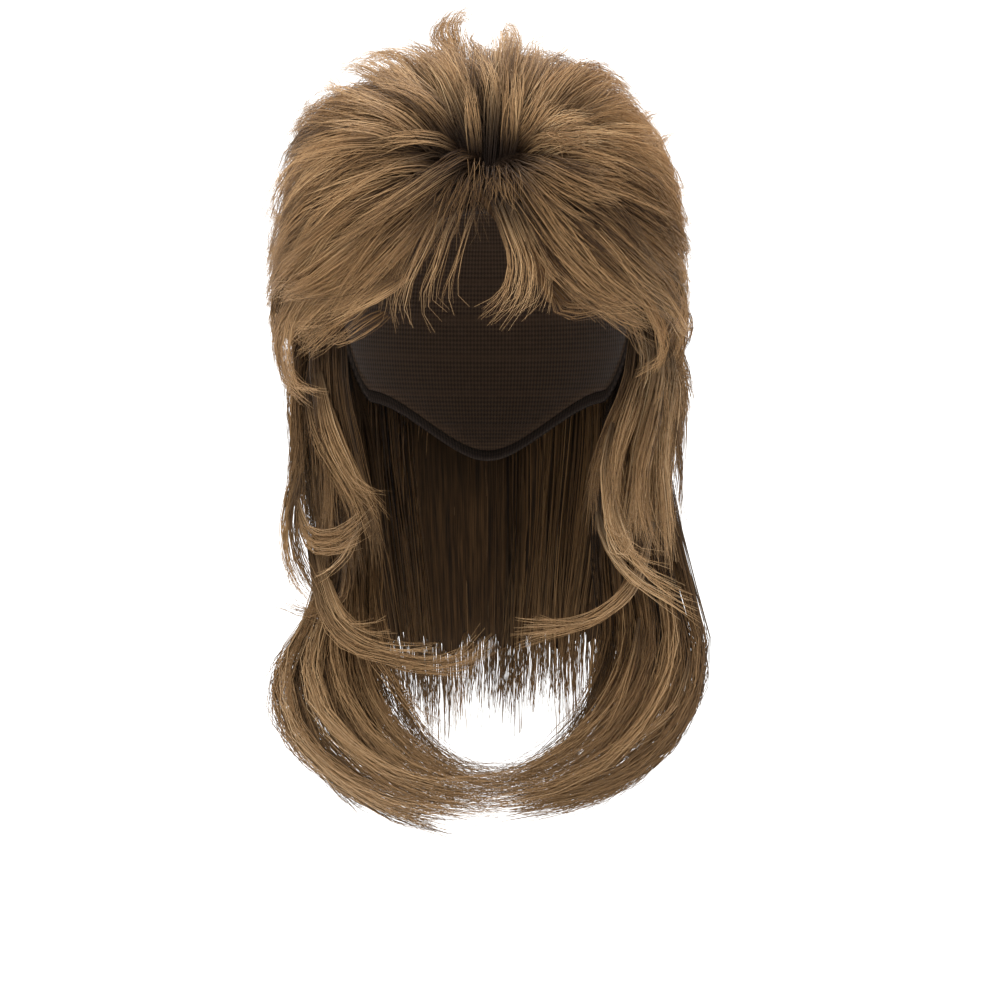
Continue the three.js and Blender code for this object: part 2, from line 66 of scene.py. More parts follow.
# How far the hem's lower edge lies below the crown, as shares of it, by the angle from the face.
RIM = [(0, 0.47), (35, 0.53), (58, 0.7), (79, 1.2), (92, 0.99), (102, 0.99), (124, 1.37), (180, 1.68)]


class Value:
    """A socket of a node, so that sums on it add nodes."""

    def __init__(self, graph, socket):
        self.graph = graph
        self.socket = socket

    def output(self, name):
        return Value(self.graph, self.socket.node.outputs[name])

    def __add__(self, other):
        return self.graph.maths("ADD", self, other)

    def __radd__(self, other):
        return self.graph.maths("ADD", other, self)

    def __sub__(self, other):
        return self.graph.maths("SUBTRACT", self, other)

    def __rsub__(self, other):
        return self.graph.maths("SUBTRACT", other, self)

    def __mul__(self, other):
        return self.graph.maths("MULTIPLY", self, other)

    def __rmul__(self, other):
        return self.graph.maths("MULTIPLY", other, self)

    def __truediv__(self, other):
        return self.graph.maths("DIVIDE", self, other)

    def __pow__(self, other):
        return self.graph.maths("POWER", self, other)

    def clipped(self):
        return self.graph.node("ShaderNodeClamp", values={"Value": self})

    def sine(self):
        return self.graph.maths("SINE", self)

    def cosine(self):
        return self.graph.maths("COSINE", self)

    def between(self, low, high):
        """0 below low, 1 above high and smooth in between."""
        settings = {"interpolation_type": "SMOOTHSTEP"}
        values = {"Value": self, "From Min": low, "From Max": high}
        return self.graph.node("ShaderNodeMapRange", settings, values)


class Graph:
    """Adds nodes to a tree. Values come by a socket's name, or by its place among those in use."""

    def __init__(self, tree):
        self.tree = tree

    def node(self, kind, settings=None, values=None):
        node = self.tree.nodes.new(kind)
        for name, setting in (settings or {}).items():
            setattr(node, name, setting)
        sockets = [socket for socket in node.inputs if socket.enabled]
        for key, value in (values or {}).items():
            socket = sockets[key] if isinstance(key, int) else next(s for s in sockets if s.name == key)
            if isinstance(value, Value):
                self.tree.links.new(value.socket, socket)
            else:
                socket.default_value = value
        outputs = [socket for socket in node.outputs if socket.enabled]
        return Value(self, outputs[0]) if outputs else node

    def maths(self, operation, *terms):
        terms = list(terms)
        vectors = [isinstance(term, Value) and term.socket.type == "VECTOR" for term in terms]
        if not any(vectors):
            return self.node("ShaderNodeMath", {"operation": operation}, dict(enumerate(terms)))
        if operation == "MULTIPLY" and not all(vectors):
            vector, scale = terms if vectors[0] else reversed(terms)
            return self.node("ShaderNodeVectorMath", {"operation": "SCALE"}, {0: vector, 1: scale})
        return self.node("ShaderNodeVectorMath", {"operation": operation}, dict(enumerate(terms)))

    def vector(self, operation, *terms):
        return self.node("ShaderNodeVectorMath", {"operation": operation}, dict(enumerate(terms)))

    def mix(self, factor, first, second):
        values = {0: factor, 1: first, 2: second}
        return self.node("ShaderNodeMix", {"data_type": "RGBA"}, values)


def linear(red, green, blue):
    """A colour as a shader takes it, from the 0 to 255 that a picture shows."""
    def one(value):
        value /= 255
        return value / 12.92 if value <= 0.04045 else ((value + 0.055) / 1.055) ** 2.4
    return (one(red), one(green), one(blue), 1)


def principled(graph, colour, roughness, normal=None, specular=0.5, sheen=0):
    values = {"Base Color": colour, "Roughness": roughness, "Specular IOR Level": specular,
              "Sheen Weight": sheen}
    if normal is not None:
        values["Normal"] = normal
    shader = graph.node("ShaderNodeBsdfPrincipled", values=values)
    graph.node("ShaderNodeOutputMaterial", values={"Surface": shader})


def new_material(name):
    material = bpy.data.materials.new(name)
    material.use_nodes = True
    material.node_tree.nodes.clear()
    return material, Graph(material.node_tree)


def ramp(graph, factor, stops):
    """A colour between the stops, which are a place and a colour each."""
    value = graph.node("ShaderNodeValToRGB", values={0: factor})
    elements = value.socket.node.color_ramp.elements
    while len(elements) < len(stops):
        elements.new(0.5)
    for element, (place, colour) in zip(elements, stops):
        element.position = place
        element.color = colour
    return value


def strand_material(name, dark, middle, light, root, palest):
    """Hair fibre: one tone for each strand, darker at its root, partly its own root tone and partly painted
    shade under the hair above, and a little bleached at its tip.
    """
    material, graph = new_material(name)
    uv = graph.node("ShaderNodeUVMap", {"uv_map": "OFBake"})
    parts = graph.node("ShaderNodeSeparateXYZ", values={0: uv})
    tone = parts.output("X")
    along = parts.output("Y")
    colour = ramp(graph, tone, [(0, dark), (0.45, middle), (0.8, light), (1, palest)])
    # Darker towards the root: the fibre's own root tone and painted shade where the layers lie over each
    # other.
    clear_of_root = along.between(0.06, 0.72) ** 1.5
    bleached = along.between(0.7, 1) * 0.25
    colour = graph.mix(clear_of_root, root, colour)
    colour = graph.mix(bleached, colour, light)
    principled(graph, colour, 0.48, specular=0.24)
    return material


def core_material(name, dark, middle, root):
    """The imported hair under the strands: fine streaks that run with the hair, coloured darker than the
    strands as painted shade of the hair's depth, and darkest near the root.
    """
    material, graph = new_material(name)
    uv = graph.node("ShaderNodeUVMap", {"uv_map": "OFBake"})
    stretched = graph.node("ShaderNodeMapping", values={"Vector": uv, "Scale": (900, 14, 1)})
    streaks = graph.node("ShaderNodeTexNoise", values={"Vector": stretched, "Scale": 1, "Detail": 3})
    wide = graph.node("ShaderNodeMapping", values={"Vector": uv, "Scale": (160, 6, 1)})
    bundles = graph.node("ShaderNodeTexNoise", values={"Vector": wide, "Scale": 1, "Detail": 1})
    share = (streaks * 0.6 + bundles * 0.4).between(0.35, 0.7)
    bump = graph.node("ShaderNodeBump", values={"Height": share, "Strength": 0.5, "Distance": 0.001})
    # Darkest near the root: the fibre's own root tone and painted shade where it dips under the strands.
    away = graph.node("ShaderNodeSeparateXYZ", values={0: uv}).output("Y").between(0.05, 0.45)
    colour = graph.mix(away, root, graph.mix(share, dark, middle))
    principled(graph, colour, 0.6, bump, specular=0.14)
    return material


# How often the patterns of the cap's net and of its hem repeat, round the head and down it.
NET_CELLS_ROUND = 130
NET_CELLS_DOWN = 62
FIBRE_ROWS = 15
HEM_RIBS = 260
HEM_GROOVES = 3


def net_material():
    """Elastic net: fine cells, with a row of closer stitches where each row of fibre is sewn on."""
    material, graph = new_material("cap_net_knit")
    uv = graph.node("ShaderNodeUVMap", {"uv_map": "OFBake"})
    parts = graph.node("ShaderNodeSeparateXYZ", values={0: uv})
    across = parts.output("X") * (2 * math.pi * NET_CELLS_ROUND)
    down = parts.output("Y") * (2 * math.pi * NET_CELLS_DOWN)
    cells = (across + down).sine() * (across - down).sine() * 0.5 + 0.5
    rows = (parts.output("Y") * (2 * math.pi * FIBRE_ROWS)).cosine().between(0.72, 0.95)
    thread = cells.between(0.25, 0.75)
    height = thread * 0.5 + rows * 0.6
    colour = graph.mix(thread, linear(56, 42, 31), linear(80, 62, 47))
    colour = graph.mix(rows * 0.35, colour, linear(80, 61, 46))
    bump = graph.node("ShaderNodeBump", values={"Height": height, "Strength": 0.6, "Distance": 0.0006})
    principled(graph, colour, 0.85, bump, specular=0.2, sheen=0.2)
    return material


def hem_material():
    """A ribbed elastic band."""
    material, graph = new_material("hem_elastic")
    uv = graph.node("ShaderNodeUVMap", {"uv_map": "OFBake"})
    parts = graph.node("ShaderNodeSeparateXYZ", values={0: uv})
    ribs = (parts.output("X") * (2 * math.pi * HEM_RIBS)).sine() * 0.5 + 0.5
    lengthways = (parts.output("Y") * (2 * math.pi * HEM_GROOVES)).sine() * 0.5 + 0.5
    height = ribs * 0.7 + lengthways * 0.3
    # Darker in the grooves and lighter on the ribs: painted shade and light of the knit.
    colour = graph.mix(height, linear(30, 24, 20), linear(62, 50, 42))
    bump = graph.node("ShaderNodeBump", values={"Height": height, "Strength": 0.5, "Distance": 0.0005})
    principled(graph, colour, 0.8, bump, specular=0.25)
    return material


def unit(vectors):
    return vectors / np.linalg.norm(vectors, axis=-1, keepdims=True)


def mix(a, b, share):
    return a + (b - a) * share


def through(values, share):
    """A value at a share of the way through the ones given for evenly spaced places."""
    return np.interp(share, np.linspace(0, 1, len(values)), values)


def head_point(angle, polar, offset):
    """A point on the head, by the angle round it from the face and the angle down from the crown."""
    around = np.sin(polar)
    sizes = HEAD_SIZES + np.asarray(offset)[..., None]
    shape = np.stack([around * np.sin(angle), -around * np.cos(angle), np.cos(polar)], axis=-1)
    return shape * sizes + HEAD_CENTRE


def rim_polar(angle):
    """The hem's lower edge at an angle round the head, as an angle down from the crown."""
    degrees = np.abs((np.degrees(angle) + 180) % 360 - 180)
    angles, drops = np.array(RIM).T
    row = np.clip(np.searchsorted(angles, degrees), 1, len(angles) - 1)
    share = (degrees - angles[row - 1]) / (angles[row] - angles[row - 1])
    eased = (1 - np.cos(np.pi * share)) / 2
    return np.arccos(1 - mix(drops[row - 1], drops[row], eased))


ROOT_AXIS = unit(ROOT * HEAD_SIZES + HEAD_CENTRE - DOME_CENTRE)
RIGHTWARD = unit(np.array([1, 0, 0]) - ROOT_AXIS * ROOT_AXIS[0])
BACKWARD = np.cross(ROOT_AXIS, RIGHTWARD)


def dome_direction(turn, reach):
    """The way from the dome's centre, by the turn round the root and the reach away from it."""
    turn, reach = np.broadcast_arrays(turn, reach)
    turn, reach = turn[..., None] * DEG, reach[..., None] * DEG
    sideways = RIGHTWARD * np.cos(turn) + BACKWARD * np.sin(turn)
    return ROOT_AXIS * np.cos(reach) + sideways * np.sin(reach)


def hair_radius(way):
    """How far from the dome's centre the hair reaches."""
    depth = np.where(way[..., 1] < 0, HEAD_LENGTH / 2 + FRONT_HAIR, HEAD_LENGTH / 2 + BACK_HAIR)
    height = np.where(way[..., 2] > 0, DOME_DEPTH + TOP_HAIR, 2 * DOME_DEPTH)
    sizes = np.stack([np.full_like(depth, DOME_WIDTH, dtype=float), depth, height], axis=-1)
    return np.sum(np.abs(way / sizes) ** DOME_POWER, axis=-1) ** (-1 / DOME_POWER)


def cap_radius(way):
    """How far from the dome's centre the cap's outside lies."""
    sizes = HEAD_SIZES + WALL + GAP
    start = (DOME_CENTRE - HEAD_CENTRE) / sizes
    step = way / sizes
    a = np.sum(step * step, axis=-1)
    b = np.sum(step * start, axis=-1)
    return (-b + np.sqrt(b * b - a * (np.sum(start * start) - 1))) / a


def depth_radius(way, depth):
    """How far from the dome's centre a depth lies, which is 0 on the cap and 1 on the hair."""
    return mix(cap_radius(way), hair_radius(way), depth)


def dome_point(turn, reach, depth):
    way = dome_direction(turn, reach)
    return way * depth_radius(way, depth)[..., None] + DOME_CENTRE


def smooth_curve(knots, along):
    """Points on a smooth curve through knots that are evenly spaced in the share along it."""
    knots = np.asarray(knots, dtype=float)
    padded = np.vstack([2 * knots[0] - knots[1], knots, 2 * knots[-1] - knots[-2]])
    place = np.clip(np.asarray(along), 0, 1) * (len(knots) - 1)
    first = np.minimum(place.astype(int), len(knots) - 2)
    t = (place - first)[..., None]
    a, b, c, d = (padded[first + k] for k in range(4))
    return 0.5 * (2 * b + (c - a) * t + (2 * a - 5 * b + 4 * c - d) * t**2
                  + (3 * b - a - 3 * c + d) * t**3)


def hanging(shares):
    """Places of hanging hair, from shares of the dome's half width, the head's half length and
    the hang, measured from the head's centre."""
    return np.asarray(shares, dtype=float) * [DOME_WIDTH, HEAD_LENGTH / 2, -HANG] + HEAD_CENTRE


def neck_out(points):
    """The level way from the neck's axis out to a point."""
    neck = np.array([0, HEAD_FORWARD + 0.1 * HEAD_LENGTH / 2, 0])
    return unit((points - neck) * [1, 1, 0])


class Guides:
    """Guide paths, one in the middle of each small lock. Every path has the same number of points,
    with the way out of the hair, the lock's half width and half depth at each."""

    def __init__(self):
        self.paths, self.outs, self.wides, self.deeps = [], [], [], []
        self.strands, self.tones, self.starts = [], [], []

    def add(self, path, out, wide, deep, strands, tone, start=0.0):
        self.paths.append(path)
        self.outs.append(out)
        self.wides.append(np.broadcast_to(wide, len(path)))
        self.deeps.append(np.broadcast_to(deep, len(path)))
        self.strands.append(int(strands))
        self.tones.append(tone)
        self.starts.append(start)

    def mesh(self, name):
        """The guides as chains of edges, with what grows on them as attributes."""
        paths = np.concatenate(self.paths) * MM
        edges, start = [], 0
        for path in self.paths:
            edges += [(start + k, start + k + 1) for k in range(len(path) - 1)]
            start += len(path)
        mesh = bpy.data.meshes.new(name)
        mesh.from_pydata(paths.tolist(), edges, [])
        counts = [len(path) for path in self.paths]
        columns = {
            "out": ("FLOAT_VECTOR", np.concatenate(self.outs)),
            "wide": ("FLOAT", np.concatenate(self.wides) * MM),
            "deep": ("FLOAT", np.concatenate(self.deeps) * MM),
            "strands": ("INT", np.repeat(self.strands, counts)),
            "tone": ("FLOAT", np.repeat(self.tones, counts)),
            "start": ("FLOAT", np.repeat(self.starts, counts)),
        }
        for key, (kind, values) in columns.items():
            field = "vector" if kind == "FLOAT_VECTOR" else "value"
            attribute = mesh.attributes.new(key, kind, "POINT")
            attribute.data.foreach_set(field, np.ascontiguousarray(values).ravel())
        return mesh


def strand_tree():
    """Grows strands round each guide: a share of them at each place in the lock, crossing a little,
    with a frizz that grows to the tip, cut to different lengths, each a thin closed tube."""
    tree = bpy.data.node_groups.new("strands_on_guides", "GeometryNodeTree")
    graph = Graph(tree)
    sockets = [
        ("Guides", "NodeSocketGeometry", None), ("Thickness", "NodeSocketFloat", 0.0005),
        ("Points", "NodeSocketInt", 7), ("Shortest", "NodeSocketFloat", 0.8),
        ("Frizz", "NodeSocketFloat", 0.001), ("Curl", "NodeSocketFloat", 0.001),
        ("Seed", "NodeSocketInt", 1), ("Finish", "NodeSocketMaterial", None),
    ]
    for name, kind, default in sockets:
        socket = tree.interface.new_socket(name, in_out="INPUT", socket_type=kind)
        if default is not None:
            socket.default_value = default
    tree.interface.new_socket("Strands", in_out="OUTPUT", socket_type="NodeSocketGeometry")
    given = graph.node("NodeGroupInput")

    def named(name, kind="FLOAT"):
        return graph.node("GeometryNodeInputNamedAttribute", {"data_type": kind}, {"Name": name})

    curves = graph.node("GeometryNodeMeshToCurve", values={"Mesh": given.output("Guides")})
    copies = graph.node("GeometryNodeDuplicateElements", {"domain": "SPLINE"},
                        {"Geometry": curves, "Amount": named("strands", "INT")})
    index = graph.node("GeometryNodeInputIndex")
    strand = graph.node("GeometryNodeFieldOnDomain", {"data_type": "INT", "domain": "CURVE"}, {0: index})

    def chance(low, high, salt):
        seed = given.output("Seed") * 100 + salt
        return graph.node("FunctionNodeRandomValue", {"data_type": "FLOAT"},
                          {"Min": low, "Max": high, "ID": strand, "Seed": seed})

    along = graph.node("GeometryNodeSplineParameter")
    turn = chance(0, 2 * math.pi, 1)
    away = chance(0, 1, 2) ** 0.5
    place = along * chance(-0.55, 0.55, 3)
    height = along * chance(-0.55, 0.55, 4)
    across = (turn.cosine() * away + place) * named("wide")
    above = (turn.sine() * away + height) * named("deep")
    tangent = graph.node("GeometryNodeInputTangent")
    out = named("out", "FLOAT_VECTOR")
    side = graph.vector("NORMALIZE", graph.vector("CROSS_PRODUCT", out, tangent))
    seedling = graph.node("ShaderNodeCombineXYZ", values={
        0: along * 3, 1: strand * 1.37, 2: chance(0, 9, 5)})
    noise = graph.node("ShaderNodeTexNoise", values={"Vector": seedling, "Scale": 1, "Detail": 1})
    waver = graph.vector("SUBTRACT", noise.output("Color"), (0.5, 0.5, 0.5))
    frizz = waver * (given.output("Frizz") * 3 * along)
    hook = (side * chance(-1, 1, 6) + out * chance(-0.6, 1, 7)) * (along ** 4 * given.output("Curl"))
    moved = graph.node("GeometryNodeSetPosition", values={
        "Geometry": copies, "Offset": side * across + out * above + frizz + hook})
    cut = graph.node("GeometryNodeTrimCurve", values={
        "Curve": moved, "End": chance(given.output("Shortest"), 1, 8)})
    even = graph.node("GeometryNodeResampleCurve", values={"Curve": cut, "Count": given.output("Points")})

    shade = (named("tone") + chance(-0.24, 0.24, 9)).clipped() * 0.99
    kept = graph.node("GeometryNodeStoreNamedAttribute", {"domain": "POINT"},
                      {"Geometry": even, "Name": "shade", "Value": shade})
    grown = named("start") + (1 - named("start")) * along
    kept = graph.node("GeometryNodeStoreNamedAttribute", {"domain": "POINT"},
                      {"Geometry": kept, "Name": "along", "Value": grown})
    ring = graph.node("GeometryNodeCurvePrimitiveCircle", values={"Resolution": 3, "Radius": 0.5})
    ring = graph.node("GeometryNodeStoreNamedAttribute", {"domain": "POINT"},
                      {"Geometry": ring, "Name": "round", "Value": index / 3})
    thickness = given.output("Thickness") * (1 - along ** 2 * 0.7) * chance(0.8, 1.15, 10)
    tubes = graph.node("GeometryNodeCurveToMesh", values={
        "Curve": kept, "Profile Curve": ring, "Scale": thickness, "Fill Caps": True})
    uv = graph.node("ShaderNodeCombineXYZ", values={
        0: named("shade") + named("round") * 0.006, 1: named("along")})
    tubes = graph.node("GeometryNodeStoreNamedAttribute", {"data_type": "FLOAT2", "domain": "CORNER"},
                       {"Geometry": tubes, "Name": "OFBake", "Value": uv})
    tubes = graph.node("GeometryNodeSetShadeSmooth", values={"Geometry": tubes})
    tubes = graph.node("GeometryNodeRealizeInstances", values={"Geometry": tubes})
    tubes = graph.node("GeometryNodeSetMaterial", values={
        "Geometry": tubes, "Material": given.output("Finish")})
    graph.node("NodeGroupOutput", values={0: tubes})
    return tree


STRANDS = strand_tree()


def new_object(name, mesh):
    thing = bpy.data.objects.new(name, mesh)
    bpy.context.scene.collection.objects.link(thing)
    return thing


def grow(name, guides, finish, slot, node, **sizes):
    """A piece of strands on guides, as a plain mesh that stands for a node of the frame."""
    piece = new_object(name, guides.mesh(name + "_guides"))
    modifier = piece.modifiers.new("strands", "NODES")
    modifier.node_group = STRANDS
    identifiers = {item.name: item.identifier for item in STRANDS.interface.items_tree}
    for key, value in {**sizes, "Finish": finish}.items():
        modifier[identifiers[key]] = value
    bpy.context.view_layer.update()
    grown = piece.evaluated_get(bpy.context.evaluated_depsgraph_get())
    mesh = bpy.data.meshes.new_from_object(grown, depsgraph=bpy.context.evaluated_depsgraph_get())
    piece.modifiers.remove(modifier)
    piece.data = mesh
    mesh.name = name
    for spare in ("out", "wide", "deep", "strands", "tone", "start", "shade", "along", "round"):
        if spare in mesh.attributes:
            mesh.attributes.remove(mesh.attributes[spare])
    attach(piece, "root")
    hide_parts(node)


def shell(name, columns, rows, inner, outer, uv, finish, closed=False):
    """A closed curved plate between two grids of points, given in millimetres."""
    i, j = np.meshgrid(np.arange(columns + 1), np.arange(rows + 1), indexing="ij")
    points = np.concatenate([inner(i, j).reshape(-1, 3), outer(i, j).reshape(-1, 3)]) * MM
    count = (columns + 1) * (rows + 1)
    layout = np.concatenate([uv(i, j).reshape(-1, 2)] * 2)

    def at(layer, a, b):
        return layer * count + a * (rows + 1) + b

    faces = []
    for a in range(columns):
        for b in range(rows):
            faces.append((at(1, a, b), at(1, a, b + 1), at(1, a + 1, b + 1), at(1, a + 1, b)))
            faces.append((at(0, a, b), at(0, a + 1, b), at(0, a + 1, b + 1), at(0, a, b + 1)))
        faces.append((at(0, a, 0), at(1, a, 0), at(1, a + 1, 0), at(0, a + 1, 0)))
        faces.append((at(0, a, rows), at(0, a + 1, rows), at(1, a + 1, rows), at(1, a, rows)))
    for b in range(rows if not closed else 0):
        faces.append((at(0, 0, b), at(0, 0, b + 1), at(1, 0, b + 1), at(1, 0, b)))
        faces.append((at(0, columns, b), at(1, columns, b), at(1, columns, b + 1), at(0, columns, b + 1)))
    mesh = bpy.data.meshes.new(name)
    mesh.from_pydata(points.tolist(), [], faces)
    layer = mesh.uv_layers.new(name="OFBake")
    corners = np.empty(len(mesh.loops), dtype=int)
    mesh.loops.foreach_get("vertex_index", corners)
    layer.data.foreach_set("uv", layout[corners].ravel())
    piece = new_object(name, mesh)
    merged = bmesh.new()
    merged.from_mesh(mesh)
    bmesh.ops.remove_doubles(merged, verts=merged.verts, dist=1e-6)
    bmesh.ops.dissolve_degenerate(merged, edges=merged.edges, dist=1e-6)
    bmesh.ops.recalc_face_normals(merged, faces=merged.faces)
    merged.to_mesh(mesh)
    merged.free()
    mesh.shade_smooth()
    mesh.materials.append(finish)
    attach(piece, "root")
    return piece


HAIR = strand_material("hair_fibre", linear(60, 39, 19), linear(160, 123, 82),
                       linear(204, 166, 120), linear(34, 20, 9), linear(222, 192, 150))
LONG_HAIR = strand_material("long_hair_fibre", linear(30, 19, 9), linear(118, 88, 55),
                            linear(178, 142, 100), linear(38, 25, 13), linear(204, 173, 134))
# The packed hair under the strands is coloured darker than them: painted shade of the hair's depth, darkest
# at the root.
CORE = core_material("packed_hair", linear(52, 35, 20), linear(120, 88, 55), linear(22, 13, 6))
LONG_CORE = core_material("packed_long_hair", linear(30, 20, 11), linear(92, 67, 41), linear(20, 13, 7))


def cap_pieces():
    """The cap, a smooth net shell, and the hem round its edge."""
    columns, rows, hem_rows = 112, 30, 4
    hem_polar = HEM_HEIGHT / HEAD_CROWN
    gap_polar = GAP / HEAD_CROWN

    def angle(i):
        return (i % columns) / columns * 2 * np.pi

    def net(offset):
        return lambda i, j: head_point(
            angle(i), (rim_polar(angle(i)) - hem_polar - gap_polar) * j / rows, offset)

    def net_uv(i, j):
        polar = (rim_polar(angle(i)) - hem_polar - gap_polar) * j / rows
        return np.stack([i / columns, polar / np.pi], axis=-1)

    cap = shell("net_cap", columns, rows, net(0), net(WALL), net_uv, net_material(), closed=True)
    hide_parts("cap_crown", "cap_front", "cap_right", "cap_nape", "cap_left")

    def hem(offset):
        def at(i, j):
            puff = 0.5 * np.sin(np.pi * j / hem_rows)
            polar = rim_polar(angle(i)) - hem_polar * (1 - j / hem_rows)
            return head_point(angle(i), polar, offset + (puff if offset else -0.3 * puff))
        return at

    def hem_uv(i, j):
        return np.stack([i / columns, j / hem_rows], axis=-1)

    band = shell("hem_band", columns, hem_rows, hem(0), hem(WALL), hem_uv, hem_material(), closed=True)
    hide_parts("hem_front", "hem_right", "hem_nape", "hem_left")


def packed_hair(name, turn, reach, columns, rows, node):
    """The hair under the strands of a dome group, dark with painted shade of the hair's depth, combed into
    ridges away from the root, where it dips."""
    rng = np.random.default_rng(len(name))
    ridge = np.convolve(rng.uniform(-1, 1, columns + 9), np.ones(3) / 3, "same")[4:-4]

    def at(low, thick):
        def place(i, j):
            share = i / columns
            away = mix(0, through(reach, share), j / rows)
            dip = 0.25 + 0.75 * np.clip(away / 26, 0, 1) ** 1.2
            thin = 1 - 0.6 * (j / rows) ** 4
            depth = low + thick * dip * thin * (1 + 0.14 * ridge[i] * np.sin(np.pi * j / rows))
            return dome_point(mix(turn[0], turn[1], share), away, depth)
        return place

    def uv(i, j):
        return np.stack([i / columns * abs(turn[1] - turn[0]) / 186, j / rows], axis=-1)

    piece = shell(name, columns, rows, at(0.02, 0), at(0, 0.62), uv, CORE)
    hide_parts(node)


def packed_sheet(name, columns, rows, place, width, ends, node):
    """The hair inside a hanging group, dark with painted shade of the hair's depth: a thin sheet that ends
    in uneven points. Place gives a point and the way out of the neck, by shares across the sheet and down
    it."""
    rng = np.random.default_rng(len(name))
    jags = np.convolve(rng.uniform(*ends, columns + 3), [0.25, 0.5, 0.25], "valid")

    def at(side):
        def point(i, j):
            across, down = i / columns, j / rows * jags[i]
            spot, out = place(across, down)
            thin = 1.6 * np.sqrt(np.clip(4 * across * (1 - across), 0.05, 1)) * (1 - 0.9 * (j / rows) ** 2)
            return clear_of_head(spot + out * (side * thin)[..., None], 0.4 + 1.5 * (side + 1))
        return point

    def uv(i, j):
        return np.stack([i / columns * width / 340, j / rows * 0.6], axis=-1)

    piece = shell(name, columns, rows, at(-1), at(1), uv, LONG_CORE)
    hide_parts(node)


# The places of a guide path's points, as shares of its length, and how wide a lock is there.
PLACES = np.linspace(0, 1, 14)
LOCK_SHAPE = through([0.7, 1, 1, 0.9, 0.7, 0.4], PLACES)
WISP_SHAPE = through([0.4, 1, 0.95, 0.7, 0.45, 0.18], PLACES)

# Hair over the dome: its mean radius, the width of a clump of locks, the half depth of a lock and
# the room that it keeps off the cap.
MEAN_RADIUS = 105
CLUMP_WIDTH = 27
LOCK_DEPTH = 3.6
LOCK_ROOM = 2

# The line of roots runs to the viewer's right by this share of a radius, which fades over a reach
# in degrees. Rows of locks that start nearer the roots are darker at their roots, partly the fibre's own
# root tone and partly painted shade under the rows above; those that start further out than the last value
# are as light as any at once.
ROOT_LINE = 0.34
ROOT_FADE = 75
DARK_REACH = 75

# By how much the clumps differ, in degrees of bend at the tip and in shares of length, depth and
# tone, how far a lock at a clump's edge turns to its middle, how much deeper it is, and how much
# darker it is painted, as painted shade between the clumps.
CLUMP_BEND = 8
CLUMP_LENGTH = 0.16
CLUMP_RISE = 0.14
CLUMP_TONE = 0.2
EDGE_PULL = 0.21
EDGE_DROP = 0.15
EDGE_PAINTED_SHADE = 0.24


def rooted_point(turn, reach, depth, stray=(0, 0)):
    """A point over the dome on hair that grows from a short line of roots, not from one spot, and
    that may stray from it to the right and back."""
    fade = np.clip(1 - reach / ROOT_FADE, 0, 1) ** 1.5
    right = fade * (ROOT_LINE * (0.5 + 0.5 * np.cos(turn * DEG)) + stray[0])
    back = fade**2 * stray[1]
    way = unit(dome_direction(turn, reach) + RIGHTWARD * right[..., None] + BACKWARD * back[..., None])
    return way * depth_radius(way, depth)[..., None] + DOME_CENTRE


def clear_of_head(path, room):
    """The path, moved out where it comes nearer to the cap than a lock's room."""
    sizes = HEAD_SIZES + WALL + room
    away = np.linalg.norm((path - HEAD_CENTRE) / sizes, axis=-1, keepdims=True)
    return HEAD_CENTRE + (path - HEAD_CENTRE) * np.maximum(1, 1 / away)


def dome_guides(rng, turn, rows, spacing, strands, edge, sweep=0, rough=1.0, shade=(0, 0)):
    """Small locks in rows round the line of roots. Each row starts at a reach and is so many
    degrees long, and its locks hang together in clumps that bend, rise and take a tone alike. Edge is how
    far any lock may reach, for places evenly spread over the turn. Sweep turns the tips, rough makes
    the clumps differ more, and shade is how much lighter the first and last places are: painted light and
    shade for the side of the hair that they are on."""
    guides = Guides()
    span = turn[1] - turn[0]
    for start, length in rows:
        around = MEAN_RADIUS * math.sin(min(90, start + 0.5 * length) * DEG) * abs(span) * DEG
        clumps = max(3, round(around / CLUMP_WIDTH))
        bends, rises, lengths, tones = rng.uniform(-1, 1, (4, clumps)) * rough
        phase = rng.uniform(0, 1)
        count = round(around / spacing)
        for k in range(count):
            share = (k + 0.5 + rng.uniform(-0.4, 0.4)) / count
            place = share * (clumps - 1) + phase
            mine = int(place)
            off = 2 * (place - mine) - 1
            begin = max(0.3, start + rng.uniform(-5, 5))
            end = begin + length * (1 + CLUMP_LENGTH * lengths[mine] + rng.uniform(-0.08, 0.08))
            end = min(end, through(edge, share) + 4 * lengths[mine] + rng.uniform(-2, 2))
            pull = EDGE_PULL * off * span / clumps
            bend = (sweep * share + CLUMP_BEND * bends[mine] + rng.uniform(-3, 3) - pull) * PLACES**2
            wave = rng.uniform(-2.5, 2.5) * np.sin(PLACES * np.pi * rng.uniform(0.8, 1.6))
            rise = through([0.26 if start < 12 else 0.34, 0.62, 0.82, 0.9, 0.94, 0.95], PLACES)
            rise = rise + (CLUMP_RISE * rises[mine] - EDGE_DROP * off**2) * PLACES
            rise = rise + rng.uniform(-0.04, 0.04)
            turns = mix(*turn, share) + wave + bend
            stray = (rng.uniform(-0.07, 0.07), rng.uniform(-0.05, 0.06))
            path = rooted_point(turns, mix(begin, end, PLACES), rise, stray)
            path = clear_of_head(path, LOCK_ROOM)
            # A lock's tone: the group's painted light and shade, a random tone for its clump, and painted
            # shade at the clump's edges.
            tone = 0.5 + mix(*shade, share) + CLUMP_TONE * tones[mine] - EDGE_PAINTED_SHADE * off**2
            tone += rng.normal(0, 0.05)
            # The start darkens the roots of rows near the line of roots: their own root tone and painted
            # shade under the rows above.
            guides.add(path, unit(path - DOME_CENTRE), spacing * 0.7 * LOCK_SHAPE,
                       LOCK_DEPTH * LOCK_SHAPE, strands, tone, min(0.5, start / DARK_REACH))
    return guides


